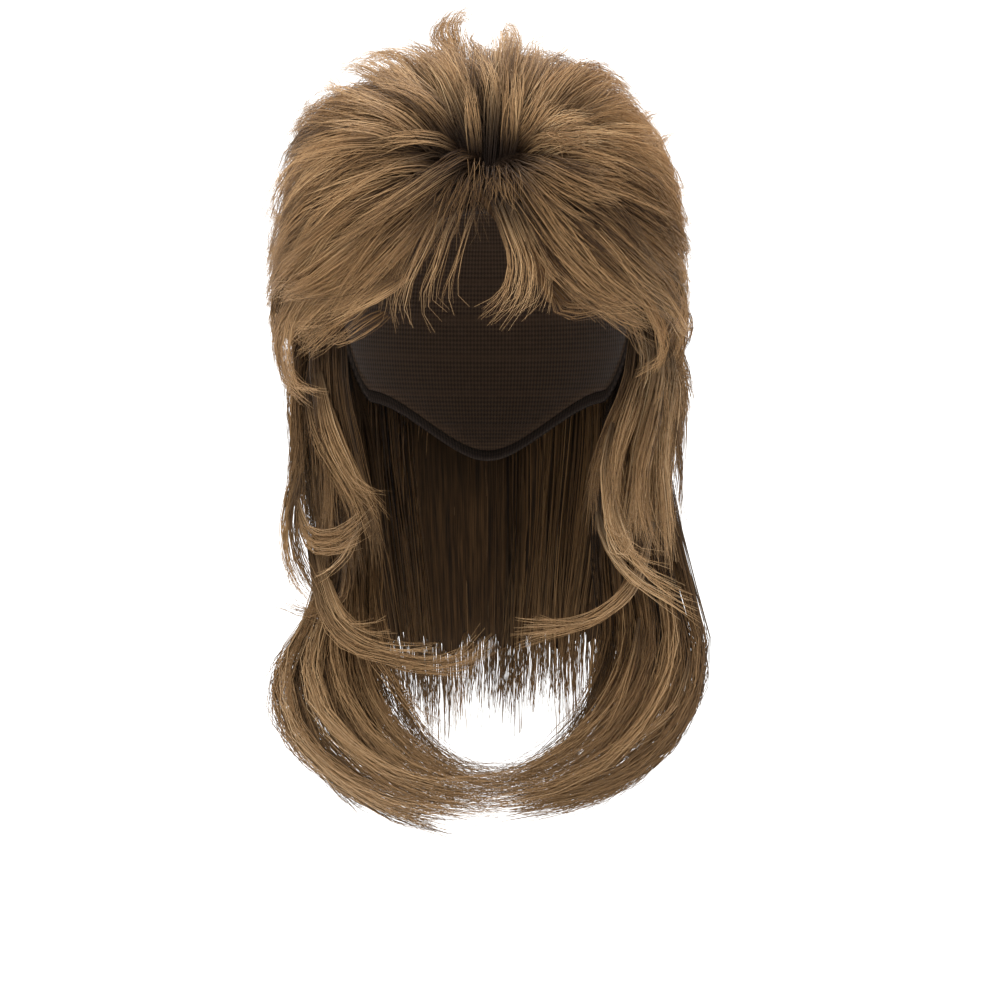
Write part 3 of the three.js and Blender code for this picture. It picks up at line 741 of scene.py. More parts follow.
def dome_wisps(guides, rng, rows, start=0.3, standing=False):
    """Single thin locks over the dome, by knots of turn, reach and depth. Standing ones spread more
    from front to back."""
    for knots, width, strands in rows:
        turn, reach, depth = smooth_curve(knots, PLACES).T
        reach = reach + (rng.uniform(-5, 9) if standing else 0)
        path = dome_point(turn + rng.uniform(-0.6, 0.6), reach, depth)
        out = np.broadcast_to([0, 0.94, 0.34], path.shape) if standing else unit(path - DOME_CENTRE)
        deep = (2.2 if standing else 0.7) * width
        guides.add(path, out, width * WISP_SHAPE, deep * WISP_SHAPE, strands, rng.normal(0.55, 0.06), start)
    return guides


def hanging_wisps(guides, rng, rows):
    """Single thin locks of hanging hair, by knots in shares."""
    for knots, width, strands, tone in rows:
        path = smooth_curve(hanging(knots), PLACES)
        guides.add(path, neck_out(path), 1.5 * width * WISP_SHAPE, 0.6 * width * WISP_SHAPE, strands,
                   tone + rng.normal(0, 0.03), 0.3)
    return guides


# The clumps of a hanging sheet spread from a little past its outer edge to a little past its inner
# one, and are laid over each other by the golden ratio, so that neighbours differ in depth.
SHEET_SIDES = (-0.04, 1.04)
GOLDEN = 0.618


def sheet_guides(rng, sheet, shade, clumps, locks, strands, layers, ends, width, depth, sway):
    """Small locks down a hanging sheet between its outer and inner edges. Its clumps lie beside
    and over each other, and those that lie deeper are darker, with painted shade. Shade is painted
    light and shade for the whole sheet. Layers are how far out the clumps lie, ends where they end, and
    sway how far they swing across the sheet."""
    guides = Guides()
    outer, inner = hanging(sheet["outer"]), hanging(sheet["inner"])
    spread = (SHEET_SIDES[1] - SHEET_SIDES[0]) / clumps
    for c in range(clumps):
        middle = mix(*SHEET_SIDES, (c + 0.5) / clumps)
        level = mix(*layers, (c * GOLDEN) % 1)
        phase, turns, last = rng.uniform(0, 2 * np.pi), rng.uniform(1.2, 2.6), rng.uniform(*ends)
        swing, tint = rng.uniform(-sway, sway), shade + rng.uniform(-0.14, 0.14)
        for k in range(locks):
            off = 2 * (k + 0.5 + rng.uniform(-0.3, 0.3)) / locks - 1
            gather = 1 - 0.55 * PLACES**1.5
            across = middle + off * spread * 0.75 * gather
            swung = swing * np.sin(np.pi * turns * PLACES + phase)
            across = across + swung * through([0.3, 1, 1, 1], PLACES)
            end = last + rng.uniform(-0.05, 0.03)
            along = mix(rng.uniform(0, 0.04), min(1, end), PLACES)
            path = mix(smooth_curve(outer, along), smooth_curve(inner, along), across[:, None])
            out = neck_out(path)
            bump = 3 * (1 - off**2) + 3 * np.sin(np.pi * turns * PLACES + phase + 1)
            path = clear_of_head(path + out * (level + bump[:, None] * PLACES[:, None]), 3)
            shape = through([0.9, 1, 1, 1, 0.9, 0.75, 0.5, 0.2], PLACES)
            # Painted shade on clumps that lie deeper and on the edges of each clump; shade and tint add the
            # sheet's painted light and a random tone.
            tone = mix(0.16, 0.6, (level - layers[0]) / (layers[1] - layers[0])) + tint
            guides.add(path, out, width * shape, depth * shape, strands,
                       tone - 0.1 * off**2 + rng.normal(0, 0.05), 0.2)
    return guides


# Rows of locks over the dome: where each starts and how long it is, in degrees of reach. Then how
# far the crown's hair may reach, at even steps of turn from the viewer's right to the left.
FRONT_ROWS = [(0, 20), (1, 30), (2, 38), (4, 46), (9, 50), (15, 52), (22, 52), (30, 52), (39, 52)]
BACK_ROWS = [(50, 54), (62, 54), (75, 54), (89, 52), (102, 48)]
WING_ROWS = [(0, 20), (1, 30), (2, 38), (5, 44), (9, 48), (14, 50), (20, 48), (27, 46), (35, 42), (44, 38)]
CROWN_EDGE = [112, 138, 156, 164, 150, 130, 104]

# Tufts that stand out of the crown, some ending in a curl: knots of turn, reach and depth, then
# the width and the strands.
TUFTS = [
    ([(95, 40, 0.5), (95.5, 49.5, 0.9), (98.5, 54, 1.1), (96, 56, 1.28), (91.4, 56.4, 1.22)], 3.8, 60),
    ([(94, 40, 0.5), (93, 50, 0.9), (95, 54.5, 1.14), (92, 56.4, 1.32), (88.6, 56.6, 1.26)], 3.6, 56),
    ([(91, 40, 0.5), (90.4, 50, 0.9), (92, 54.4, 1.16), (89, 56.6, 1.33), (87.2, 56.7, 1.2)], 3.4, 56),
    ([(87, 41, 0.5), (86.3, 50, 0.9), (89, 54.5, 1.1), (88, 56.6, 1.27)], 3.4, 40),
    ([(100, 41, 0.5), (101, 50, 0.88), (104, 55, 1.04), (108, 57.5, 1.12)], 3.6, 36),
    ([(106, 42, 0.5), (108, 51, 0.86), (112, 56, 1.02), (118, 58, 1.05), (119, 57, 1)], 3.4, 30),
    ([(73, 42, 0.5), (75.5, 51.5, 0.84), (79.4, 55.6, 1.05), (80, 57.7, 1.25), (76.6, 58.2, 1.22)], 3.4, 52),
    ([(71, 43, 0.5), (72, 52, 0.84), (74, 56.5, 1.02), (77.5, 58, 1.2), (80, 57.6, 1.17)], 3.2, 40),
    ([(69, 43, 0.5), (69, 52, 0.8), (71, 57, 0.98), (72, 59, 1.1), (69, 59.5, 1.12)], 3, 30),
    ([(66, 44, 0.45), (65.7, 53.5, 0.75), (64, 59, 0.94), (62.4, 61.6, 1.08), (64, 61, 1.15),
      (66.3, 60.5, 1.1)], 2.2, 16),
    ([(80, 41, 0.5), (81, 50, 0.84), (82, 55, 0.98), (84, 58, 1.06)], 3.6, 36),
    ([(138, 46, 0.55), (131, 54.8, 0.9), (130, 57.6, 1.06), (129.5, 59.5, 1.12)], 3.6, 34),
    ([(146, 48, 0.55), (139, 57, 0.9), (137, 60, 1.04), (134, 61.5, 1.06)], 3.6, 34),
    ([(155, 51, 0.55), (147, 59, 0.9), (144, 61.5, 1.04), (142, 63, 1.1)], 3.6, 34),
    ([(169, 56, 0.55), (158, 63, 0.93), (154, 65, 1.07), (151, 66, 1.12)], 3.6, 34),
    ([(52, 48, 0.5), (52, 57, 0.82), (51, 62, 0.96), (48, 65, 1.02)], 3.6, 34),
    ([(32, 58, 0.55), (37, 66.6, 0.9), (38, 69.4, 1.03), (38, 72, 1.1)], 3.4, 34),
    ([(22, 63, 0.55), (28, 71, 0.94), (29.6, 74, 1.08), (29.4, 76, 1.16)], 3.4, 34),
    ([(180, 56, 0.6), (171, 67, 0.95), (167, 71, 1.06), (163, 73, 1.14)], 3.4, 30),
    ([(189, 58, 0.6), (181, 71, 0.96), (178, 76, 1.06), (173, 78, 1.14)], 3.4, 30),
    ([(197, 60, 0.6), (190, 73, 0.96), (188, 79, 1.07), (184, 82, 1.16)], 3.4, 30),
    ([(12, 60, 0.6), (18, 72, 0.95), (20, 77, 1.06), (22, 79, 1.16)], 3.4, 30),
    ([(3, 60, 0.6), (8, 74, 0.96), (10, 80, 1.06), (13, 82, 1.15)], 3.4, 30),
    ([(353, 60, 0.6), (358, 76, 0.96), (360, 83, 1.06), (364, 86, 1.15)], 3.4, 30),
]

# Locks that roll in at the lower corners of the hair over the temples, the same way.
LEFT_ROLLS = [
    ([(204, 55, 0.8), (203, 70, 0.95), (206, 82, 0.98), (212, 88, 0.8), (219, 88, 0.6)], 3.6, 40),
    ([(208, 50, 0.8), (208, 66, 0.98), (212, 78, 1), (218, 83, 0.85), (225, 81, 0.6)], 3.6, 40),
    ([(213, 46, 0.8), (214, 60, 0.98), (218, 71, 1), (224, 76, 0.85), (230, 73, 0.6)], 3.4, 36),
    ([(198, 60, 0.8), (195, 75, 0.96), (196, 86, 1.02), (201, 91, 0.9), (206, 89, 0.8)], 3.4, 36),
]
RIGHT_ROLLS = [
    ([(338, 58, 0.8), (341, 74, 0.96), (340, 87, 1.02), (334, 91, 0.95), (330, 88, 0.85)], 3.4, 36),
    ([(332, 54, 0.8), (334, 70, 0.98), (336, 83, 1.04), (340, 90, 1.12), (345, 91, 1.15)], 3.4, 36),
    ([(326, 50, 0.8), (326, 65, 0.98), (324, 77, 0.98), (319, 80, 0.8), (315, 77, 0.6)], 3.4, 36),
    ([(345, 60, 0.8), (349, 76, 0.98), (349, 88, 1.05), (345, 93, 1.05), (341, 90, 0.98)], 3, 30),
]

# Thin locks over the forehead, the same way.
FRINGE = [
    ([(272, 6, 0.5), (247, 17, 0.75), (239, 29, 0.62), (238, 41, 0.5), (238, 49, 0.42)], 3.4, 26),
    ([(280, 7, 0.5), (253, 18, 0.75), (244, 30, 0.62), (242, 42, 0.48), (246, 49, 0.4)], 3.2, 22),
    ([(286, 7, 0.5), (260, 19, 0.72), (250, 32, 0.6), (248, 43, 0.46), (252, 48.5, 0.38)], 3, 20),
    ([(296, 9, 0.5), (269, 21, 0.7), (260, 33, 0.58), (258, 41, 0.45), (264, 46, 0.38)], 2.6, 14),
    ([(305, 11, 0.5), (280, 22, 0.66), (271, 31, 0.5), (267, 39, 0.42), (270, 44, 0.36)], 2.2, 8),
    ([(309, 12, 0.5), (300, 24, 0.72), (296.5, 33, 0.62), (288, 41, 0.5), (275, 46.5, 0.42)], 2.6, 18),
    ([(313, 13, 0.5), (303, 25, 0.72), (299.5, 35, 0.62), (291, 43, 0.5), (279, 47.5, 0.42)], 2.8, 22),
    ([(318, 14, 0.5), (307, 27, 0.72), (303, 37, 0.62), (295, 45, 0.5), (284, 48.5, 0.42)], 2.8, 20),
    ([(324, 15, 0.5), (312, 29, 0.72), (308, 39, 0.62), (301, 46.5, 0.5), (292, 50, 0.42)], 2.8, 18),
    ([(331, 18, 0.5), (320, 32, 0.74), (317, 42, 0.64), (311, 50.5, 0.5), (304, 54, 0.42)], 3, 18),
    ([(336, 21, 0.5), (326, 34, 0.78), (324, 46, 0.66), (321, 56, 0.54), (318, 63, 0.46)], 3.2, 22),
]

# Hanging hair, in shares: its sheets, and the loose locks on them with their width, strands and
# tone.
LEFT_SIDE = {
    "outer": [(-0.84, -0.11, -0.04), (-0.95, -0.14, 0.1), (-0.94, -0.2, 0.27), (-0.95, -0.22, 0.43),
              (-0.91, -0.22, 0.57)],
    "inner": [(-0.75, -0.46, -0.03), (-0.76, -0.51, 0.1), (-0.69, -0.46, 0.27), (-0.61, -0.4, 0.41),
              (-0.57, -0.36, 0.52)],
}
RIGHT_SIDE = {
    "outer": [(0.82, -0.11, -0.04), (0.93, -0.14, 0.1), (0.89, -0.2, 0.25), (0.92, -0.22, 0.4),
              (0.97, -0.2, 0.52)],
    "inner": [(0.73, -0.46, -0.03), (0.75, -0.51, 0.1), (0.62, -0.46, 0.25), (0.56, -0.4, 0.39),
              (0.59, -0.36, 0.5)],
}
LEFT_TAIL = {
    "outer": [(-0.82, 0.18, 0.02), (-0.86, 0.15, 0.23), (-0.81, 0.07, 0.455), (-0.86, -0.05, 0.6),
              (-1.02, -0.2, 0.69), (-0.99, -0.4, 0.805), (-0.8, -0.61, 0.895), (-0.52, -0.75, 0.965),
              (-0.18, -0.86, 0.995), (0.12, -0.9, 0.975)],
    "inner": [(-0.69, 0.51, 0.07), (-0.66, 0.46, 0.25), (-0.63, 0.26, 0.44), (-0.61, 0.01, 0.575),
              (-0.56, -0.2, 0.655), (-0.49, -0.4, 0.74), (-0.37, -0.59, 0.82), (-0.18, -0.73, 0.885),
              (0.08, -0.81, 0.91), (0.3, -0.86, 0.885)],
}
RIGHT_TAIL = {
    "outer": [(0.8, 0.18, 0.02), (0.86, 0.15, 0.23), (0.94, 0.07, 0.435), (1.02, -0.05, 0.575),
              (1.07, -0.2, 0.665), (1.01, -0.4, 0.775), (0.8, -0.61, 0.89), (0.49, -0.77, 0.95),
              (0.14, -0.88, 0.965), (-0.16, -0.9, 0.965)],
    "inner": [(0.69, 0.51, 0.07), (0.65, 0.46, 0.25), (0.61, 0.26, 0.44), (0.63, 0.01, 0.565),
              (0.63, -0.2, 0.65), (0.57, -0.4, 0.725), (0.45, -0.59, 0.81), (0.24, -0.73, 0.88),
              (0, -0.81, 0.915), (-0.24, -0.86, 0.905)],
}
LEFT_SIDE_WISPS = [
    ([(-0.8, -0.49, 0.1), (-0.75, -0.53, 0.215), (-0.66, -0.54, 0.295), (-0.59, -0.55, 0.339),
      (-0.47, -0.57, 0.359)], 3.4, 40, 0.72),
    ([(-0.79, -0.47, 0.12), (-0.71, -0.52, 0.235), (-0.62, -0.53, 0.315), (-0.54, -0.55, 0.355),
      (-0.45, -0.57, 0.403)], 3, 34, 0.6),
    ([(-0.87, -0.34, 0.12), (-0.82, -0.42, 0.22), (-0.72, -0.48, 0.3), (-0.62, -0.5, 0.37),
      (-0.58, -0.5, 0.44)], 4, 40, 0.55),
    ([(-0.93, -0.3, 0.34), (-0.86, -0.42, 0.425), (-0.72, -0.5, 0.432), (-0.61, -0.53, 0.404),
      (-0.53, -0.55, 0.373)], 3, 34, 0.66),
    ([(-0.92, -0.32, 0.37), (-0.84, -0.44, 0.445), (-0.7, -0.52, 0.45), (-0.58, -0.54, 0.42)], 3, 30, 0.7),
    ([(-0.88, -0.26, 0.25), (-0.96, -0.26, 0.36), (-0.97, -0.28, 0.447), (-0.92, -0.32, 0.518),
      (-0.8, -0.38, 0.571)], 3.4, 40, 0.62),
    ([(-0.9, -0.3, 0.3), (-0.94, -0.32, 0.4), (-0.9, -0.36, 0.48), (-0.8, -0.42, 0.55),
      (-0.7, -0.46, 0.6)], 3.6, 40, 0.5),
    ([(-0.7, -0.2, 0.44), (-0.68, -0.32, 0.54), (-0.78, -0.4, 0.584), (-0.9, -0.43, 0.578),
      (-1.04, -0.44, 0.553)], 2.6, 30, 0.6),
    ([(-0.6, -0.42, 0.4), (-0.68, -0.46, 0.47), (-0.77, -0.48, 0.5), (-0.84, -0.46, 0.5)], 2, 10, 0.75),
]
RIGHT_SIDE_WISPS = [
    ([(0.88, -0.2, -0.1), (0.98, -0.15, -0.03), (0.99, -0.13, 0.02), (0.93, -0.14, 0.06),
      (0.91, -0.15, 0.13)], 2, 14, 0.6),
    ([(0.84, -0.3, -0.08), (0.95, -0.22, -0.02), (0.95, -0.2, 0.04), (0.88, -0.22, 0.09),
      (0.9, -0.2, 0.16)], 2.4, 20, 0.5),
    ([(0.88, -0.2, 0.1), (0.92, -0.2, 0.202), (0.94, -0.21, 0.294), (0.92, -0.22, 0.386),
      (0.95, -0.24, 0.44)], 2, 24, 0.42),
    ([(0.53, -0.46, 0.38), (0.57, -0.5, 0.44), (0.68, -0.53, 0.506), (0.83, -0.5, 0.548),
      (1.02, -0.44, 0.593)], 2.2, 22, 0.85),
    ([(0.57, -0.48, 0.3), (0.62, -0.52, 0.4), (0.72, -0.53, 0.486), (0.86, -0.5, 0.53),
      (1.01, -0.44, 0.562)], 2.4, 24, 0.8),
    ([(0.6, -0.5, 0.2), (0.56, -0.51, 0.3), (0.6, -0.55, 0.42), (0.7, -0.55, 0.47),
      (0.85, -0.5, 0.49)], 3, 30, 0.72),
    ([(0.57, -0.5, 0.37), (0.6, -0.55, 0.452), (0.66, -0.56, 0.462), (0.68, -0.55, 0.426),
      (0.62, -0.54, 0.406)], 1.8, 12, 0.8),
    ([(0.62, -0.5, 0.3), (0.58, -0.54, 0.39), (0.61, -0.56, 0.43), (0.66, -0.56, 0.4)], 1.8, 12, 0.75),
    ([(0.76, -0.46, 0.06), (0.7, -0.52, 0.16), (0.63, -0.53, 0.25), (0.6, -0.52, 0.33),
      (0.62, -0.5, 0.42)], 4, 44, 0.62),
    ([(0.84, -0.4, 0.08), (0.8, -0.46, 0.2), (0.74, -0.5, 0.3), (0.75, -0.5, 0.4),
      (0.82, -0.48, 0.48)], 4, 44, 0.55),
]
LEFT_TAIL_WISPS = [
    ([(-0.86, -0.3, 0.44), (-0.78, -0.48, 0.58), (-0.65, -0.6, 0.645), (-0.48, -0.64, 0.668),
      (-0.27, -0.67, 0.685), (-0.09, -0.69, 0.667), (0.03, -0.69, 0.623)], 3.6, 46, 0.55),
    ([(-0.84, -0.3, 0.42), (-0.74, -0.5, 0.575), (-0.58, -0.61, 0.64), (-0.4, -0.65, 0.66),
      (-0.2, -0.68, 0.665)], 3.2, 30, 0.75),
    ([(-0.82, -0.36, 0.5), (-0.7, -0.54, 0.61), (-0.43, -0.65, 0.68), (-0.22, -0.67, 0.695),
      (-0.03, -0.67, 0.685)], 3, 34, 0.4),
    ([(-0.8, -0.38, 0.48), (-0.68, -0.55, 0.59), (-0.56, -0.58, 0.61), (-0.46, -0.6, 0.602)], 2.2, 18, 0.7),
    ([(-0.76, -0.42, 0.53), (-0.54, -0.61, 0.67), (-0.33, -0.67, 0.777), (-0.17, -0.69, 0.832)], 2, 10, 0.5),
    ([(-0.94, -0.26, 0.72), (-0.84, -0.46, 0.82), (-0.76, -0.55, 0.9), (-0.65, -0.62, 0.95),
      (-0.52, -0.67, 0.98)], 2.6, 36, 0.4),
    ([(-0.8, -0.54, 0.86), (-0.6, -0.65, 0.935), (-0.4, -0.72, 0.975), (-0.18, -0.76, 0.997)], 3, 40, 0.4),
]
RIGHT_TAIL_WISPS = [
    ([(0.8, -0.32, 0.4), (0.72, -0.42, 0.51), (0.6, -0.49, 0.57), (0.42, -0.55, 0.604),
      (0.11, -0.59, 0.617)], 3.2, 40, 0.68),
    ([(0.76, -0.34, 0.42), (0.68, -0.44, 0.53), (0.55, -0.51, 0.585), (0.36, -0.57, 0.61),
      (0.2, -0.59, 0.61)], 2.6, 30, 0.55),
    ([(1, -0.22, 0.67), (0.9, -0.44, 0.78), (0.66, -0.62, 0.85), (0.5, -0.68, 0.86)], 3, 30, 0.7),
    ([(0.74, -0.18, 0.6), (0.7, -0.38, 0.69), (0.6, -0.6, 0.78), (0.44, -0.68, 0.85)], 3.4, 30, 0.6),
    ([(0.85, -0.55, 0.83), (0.6, -0.68, 0.92), (0.35, -0.76, 0.95), (0.1, -0.8, 0.955)], 3, 34, 0.45),
]

# The curtain of back hair, down its middle, as such shares too.
NAPE_RINGS = [(0, 0.87, -0.01), (0, 0.98, 0.13), (0, 0.9, 0.41), (0, 0.8, 0.67), (0, 0.74, 0.93)]


def crown_pieces():
    rng = np.random.default_rng(11)
    # Shade paints light on the viewer's right of the crown, which the lamps light less, and a little painted
    # shade on its left.
    front = dome_guides(rng, (-4, 184), FRONT_ROWS, 7.6, 25, CROWN_EDGE, shade=(0.16, -0.04))
    back = dome_guides(rng, (-4, 184), BACK_ROWS, 12, 21, CROWN_EDGE, rough=1.2, shade=(0.08, 0))
    tufts = dome_wisps(Guides(), rng, TUFTS, standing=True)
    grow("crown_front_strands", front, HAIR, "hair", "crown_hair",
         Thickness=0.0004, Points=6, Shortest=0.78, Frizz=0.0022, Curl=0.005, Seed=1)
    grow("crown_back_strands", back, HAIR, "hair", "crown_hair",
         Thickness=0.00052, Points=6, Shortest=0.78, Frizz=0.0022, Curl=0.005, Seed=2)
    grow("crown_tuft_strands", tufts, HAIR, "hair", "crown_hair",
         Thickness=0.0004, Points=8, Shortest=0.75, Frizz=0.0015, Curl=0.005, Seed=11)
    packed_hair("crown_packed_hair", (-3, 183), [108, 152, 102], 100, 40, "crown_hair")


def wing_pieces():
    # Both wings are darkened with painted shade, the right one more, as it lies in shadow.
    left = dome_guides(np.random.default_rng(12), (180, 242), WING_ROWS, 7, 21, [92, 82, 68, 54], -20,
                       shade=(-0.1, -0.1))
    right = dome_guides(np.random.default_rng(13), (360, 298), WING_ROWS, 7, 21, [96, 88, 76, 56], 20,
                        shade=(-0.2, -0.2))
    dome_wisps(left, np.random.default_rng(15), LEFT_ROLLS)
    dome_wisps(right, np.random.default_rng(16), RIGHT_ROLLS)
    for name, guides, node, seed in (("left_wing_strands", left, "left_wing_hair", 3),
                                     ("right_wing_strands", right, "right_wing_hair", 4)):
        grow(name, guides, HAIR, "hair", node,
             Thickness=0.0004, Points=6, Shortest=0.8, Frizz=0.002, Curl=0.005, Seed=seed)
    packed_hair("left_wing_packed_hair", (182, 236), [81, 64, 45], 40, 30, "left_wing_hair")
    packed_hair("right_wing_packed_hair", (302, 358), [48, 68, 88], 40, 30, "right_wing_hair")


def fringe_piece():
    rng = np.random.default_rng(14)
    guides = dome_wisps(Guides(), rng, FRINGE, start=0)
    for turn, end in zip(np.linspace(238, 322, 26), through([34, 26, 20, 26, 36], np.linspace(0, 1, 26))):
        reach = mix(rng.uniform(1.5, 6), end + rng.uniform(-6, 6), PLACES)
        turns = turn + rng.uniform(-3, 3) + rng.uniform(-5, 5) * PLACES**2
        stray = (rng.uniform(-0.08, 0.08), rng.uniform(-0.02, 0.06))
        depth = through([0.2, 0.6, 0.75, 0.6, 0.5], PLACES)
        path = clear_of_head(rooted_point(turns, reach, depth, stray), 2)
        guides.add(path, unit(path - DOME_CENTRE), 5 * WISP_SHAPE, 2.5 * WISP_SHAPE, 11,
                   rng.normal(0.16, 0.08))
    grow("fringe_strands", guides, HAIR, "hair", "fringe",
         Thickness=0.00036, Points=9, Shortest=0.7, Frizz=0.0025, Curl=0.008, Seed=5)


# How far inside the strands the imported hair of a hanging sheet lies, and how much narrower it is at
# the sheet's end.
PACKED_INSET = 5
PACKED_TAPER = 0.7


def on_sheet(sheet, sides):
    """Places for packed hair on a hanging sheet, a little nearer to the neck than its strands and
    narrower as it goes down."""
    outer, inner = hanging(sheet["outer"]), hanging(sheet["inner"])

    def place(across, down):
        across = 0.5 + (across - 0.5) * (1 - PACKED_TAPER * down)
        spot = mix(smooth_curve(outer, down), smooth_curve(inner, down), mix(*sides, across)[..., None])
        out = neck_out(spot)
        return spot - PACKED_INSET * out, out
    return place


def hanging_pieces():
    rng = np.random.default_rng(21)
    # Shade paints light and shade on a whole sheet: painted shade on the left side locks and painted light
    # on the right side locks.
    for side, sheet, shade, wisps, seed in (("left", LEFT_SIDE, -0.12, LEFT_SIDE_WISPS, 6),
                                            ("right", RIGHT_SIDE, 0.28, RIGHT_SIDE_WISPS, 7)):
        node = side + "_side_locks"
        guides = sheet_guides(rng, sheet, shade, clumps=11, locks=3, strands=29, layers=(-11, 4),
                              ends=(0.62, 1), width=3.4, depth=3, sway=0.08)
        hanging_wisps(guides, rng, wisps)
        grow(side + "_side_strands", guides, LONG_HAIR, "hair", node,
             Thickness=0.00044, Points=8, Shortest=0.75, Frizz=0.0025, Curl=0.007, Seed=seed)
        packed_sheet(node + "_packed_hair", 14, 20, on_sheet(sheet, (0.14, 0.9)), 45, (0.42, 0.62),
                     node)
    # Shade paints light on the left tail, and none on the right one.
    for side, sheet, shade, wisps, seed in (("left", LEFT_TAIL, 0.12, LEFT_TAIL_WISPS, 8),
                                            ("right", RIGHT_TAIL, 0, RIGHT_TAIL_WISPS, 9)):
        node = side + "_tail"
        guides = sheet_guides(rng, sheet, shade, clumps=16, locks=3, strands=26, layers=(-11, 6),
                              ends=(0.86, 1), width=4, depth=3.2, sway=0.06)
        hanging_wisps(guides, rng, wisps)
        grow(node + "_strands", guides, LONG_HAIR, "long_hair", node,
             Thickness=0.00048, Points=11, Shortest=0.84, Frizz=0.0025, Curl=0.008, Seed=seed)
        packed_sheet(node + "_packed_hair", 14, 34, on_sheet(sheet, (0.12, 0.9)), 50, (0.64, 0.76),
                     node)


# The curtain of back hair bends round this axis, to this many degrees either side of the back.
NAPE_AXIS = np.array([0, HEAD_FORWARD + 0.155 * HEAD_LENGTH / 2, 0])
NAPE_SPAN = 73


def on_nape(angle, down, layer):
    """A point on the curtain of back hair, and the way out of the neck there."""
    ring = smooth_curve(hanging(NAPE_RINGS), down)
    angle = np.broadcast_to(angle, down.shape) * DEG
    out = np.stack([np.sin(angle), np.cos(angle), np.zeros_like(angle)], axis=-1)
    radius = ring[..., 1:2] - HEAD_CENTRE[1] + layer
    return NAPE_AXIS + out * radius + ring * [0, 0, 1], out


def nape_piece():
    rng = np.random.default_rng(31)
    guides = Guides()
    clumps, locks = 26, 4
    bends, levels, lengths, tones = rng.uniform(-1, 1, (4, clumps))
    for k in range(locks * clumps):
        mine, off = k // locks, (k % locks - 1.5) / 1.5
        angle = mix(-NAPE_SPAN, NAPE_SPAN, (mine + 0.5 + 0.6 * off * (1 - 0.2 * PLACES)) / clumps)
        angle = angle + 3 * bends[mine] * np.sin(PLACES * np.pi * 1.5 + mine)
        down = mix(rng.uniform(0, 0.06), min(1, 0.93 + 0.07 * lengths[mine] - rng.uniform(0, 0.05)), PLACES)
        path, out = on_nape(angle, down, 1.5 + 4.5 * levels[mine] + 2 * (1 - off**2))
        shape = through([0.9, 1, 1, 1, 1, 0.9, 0.6], PLACES)
        # Painted shade on clumps that lie deeper and on the edges of each clump, beside a random tone for
        # each clump.
        tone = 0.4 + 0.12 * levels[mine] + 0.12 * tones[mine] - 0.1 * off**2
        guides.add(clear_of_head(path, 4), out, 4.8 * shape, 3 * shape, 18, tone, 0.45)
    grow("nape_strands", guides, LONG_HAIR, "long_hair", "nape_hair",
         Thickness=0.0008, Points=7, Shortest=0.84, Frizz=0.003, Curl=0.006, Seed=10)

    def place(across, down):
        return on_nape(mix(2 - NAPE_SPAN, NAPE_SPAN - 2, across), down, 0)

    packed_sheet("nape_packed_hair", 90, 16, place, 230, (0.7, 0.78), "nape_hair")


# The layers that fall over the tops of the back hair and the tails: how far down the shortest and
# the longest end, how far out they lie, where they leave the dome as a rise in degrees and a
# depth, how many clumps they have, how much longer they are behind the temples, and how many
# degrees from the back they start.
BACK_LAYERS = [
    (0.05, 0.13, 8, [(10, 0.5), (0, 0.84), (-12, 0.98)], 17, 0.03, 0),
    (0.12, 0.24, 6, [(8, 0.45), (-2, 0.76), (-12, 0.9)], 17, 0.06, 0),
    (0.22, 0.36, 4, [(6, 0.4), (-4, 0.68), (-14, 0.8)], 17, 0.12, 0),
    (0.36, 0.56, 2.5, [(6, 0.4), (-4, 0.6), (-14, 0.72)], 15, 0.08, 0),
    (0.3, 0.62, 4, [(2, 0.4), (-6, 0.6), (-15, 0.76)], 27, 0, 88),
]
BEHIND_TEMPLES = 72


def level_point(angle, rise, depth):
    """A point over the dome, by the angle from the back and the rise from level, in degrees."""
    flat = math.cos(rise * DEG)
    way = np.array([math.sin(angle * DEG) * flat, math.cos(angle * DEG) * flat, math.sin(rise * DEG)])
    return DOME_CENTRE + way * depth_radius(way, depth)


def layer_piece():
    """The falling layers. They grow out from under the crown, higher at the back than at the
    sides, and close the hair behind the temples."""
    rng = np.random.default_rng(41)
    guides = Guides()
    for shortest, longest, layer, rises, clumps, extra, least in BACK_LAYERS:
        bends, lengths, tones = rng.uniform(-1, 1, (3, clumps))
        for k in range(3 * clumps):
            mine, off = k // 3, k % 3 - 1
            side = 2 * (mine + 0.5 + 0.34 * off + rng.uniform(-0.1, 0.1)) / clumps - 1
            angle = 150 * math.sin(54 * side * DEG)
            if abs(angle) < least:
                continue
            last = mix(shortest, longest, 0.5 + 0.5 * lengths[mine]) + rng.uniform(-0.02, 0.02)
            last += extra * (abs(angle) > BEHIND_TEMPLES)
            lift = 12 * max(0, math.cos(1.2 * angle * DEG))
            knots = [level_point(angle, rise + lift, depth) for rise, depth in rises]
            below = np.linspace(min(0.08, 0.5 * last), last, 3)
            sway = angle + 4 * bends[mine] * np.array([0.2, 0.6, 1]) - 4 * off * np.array([0, 0.4, 1])
            knots += list(on_nape(sway, below, layer)[0])
            path = clear_of_head(smooth_curve(knots, PLACES), 3)
            shape = through([0.4, 0.9, 1, 1, 0.9, 0.7, 0.35], PLACES)
            # Painted shade on the edges of each clump, beside a random tone for each clump.
            tone = 0.52 + 0.18 * tones[mine] - 0.16 * off**2 + rng.normal(0, 0.05)
            guides.add(path, neck_out(path), 5.6 * shape, 3.4 * shape, 13, tone, 0.6)
    grow("back_layer_strands", guides, LONG_HAIR, "long_hair", "nape_hair",
         Thickness=0.00052, Points=7, Shortest=0.76, Frizz=0.003, Curl=0.006, Seed=12)


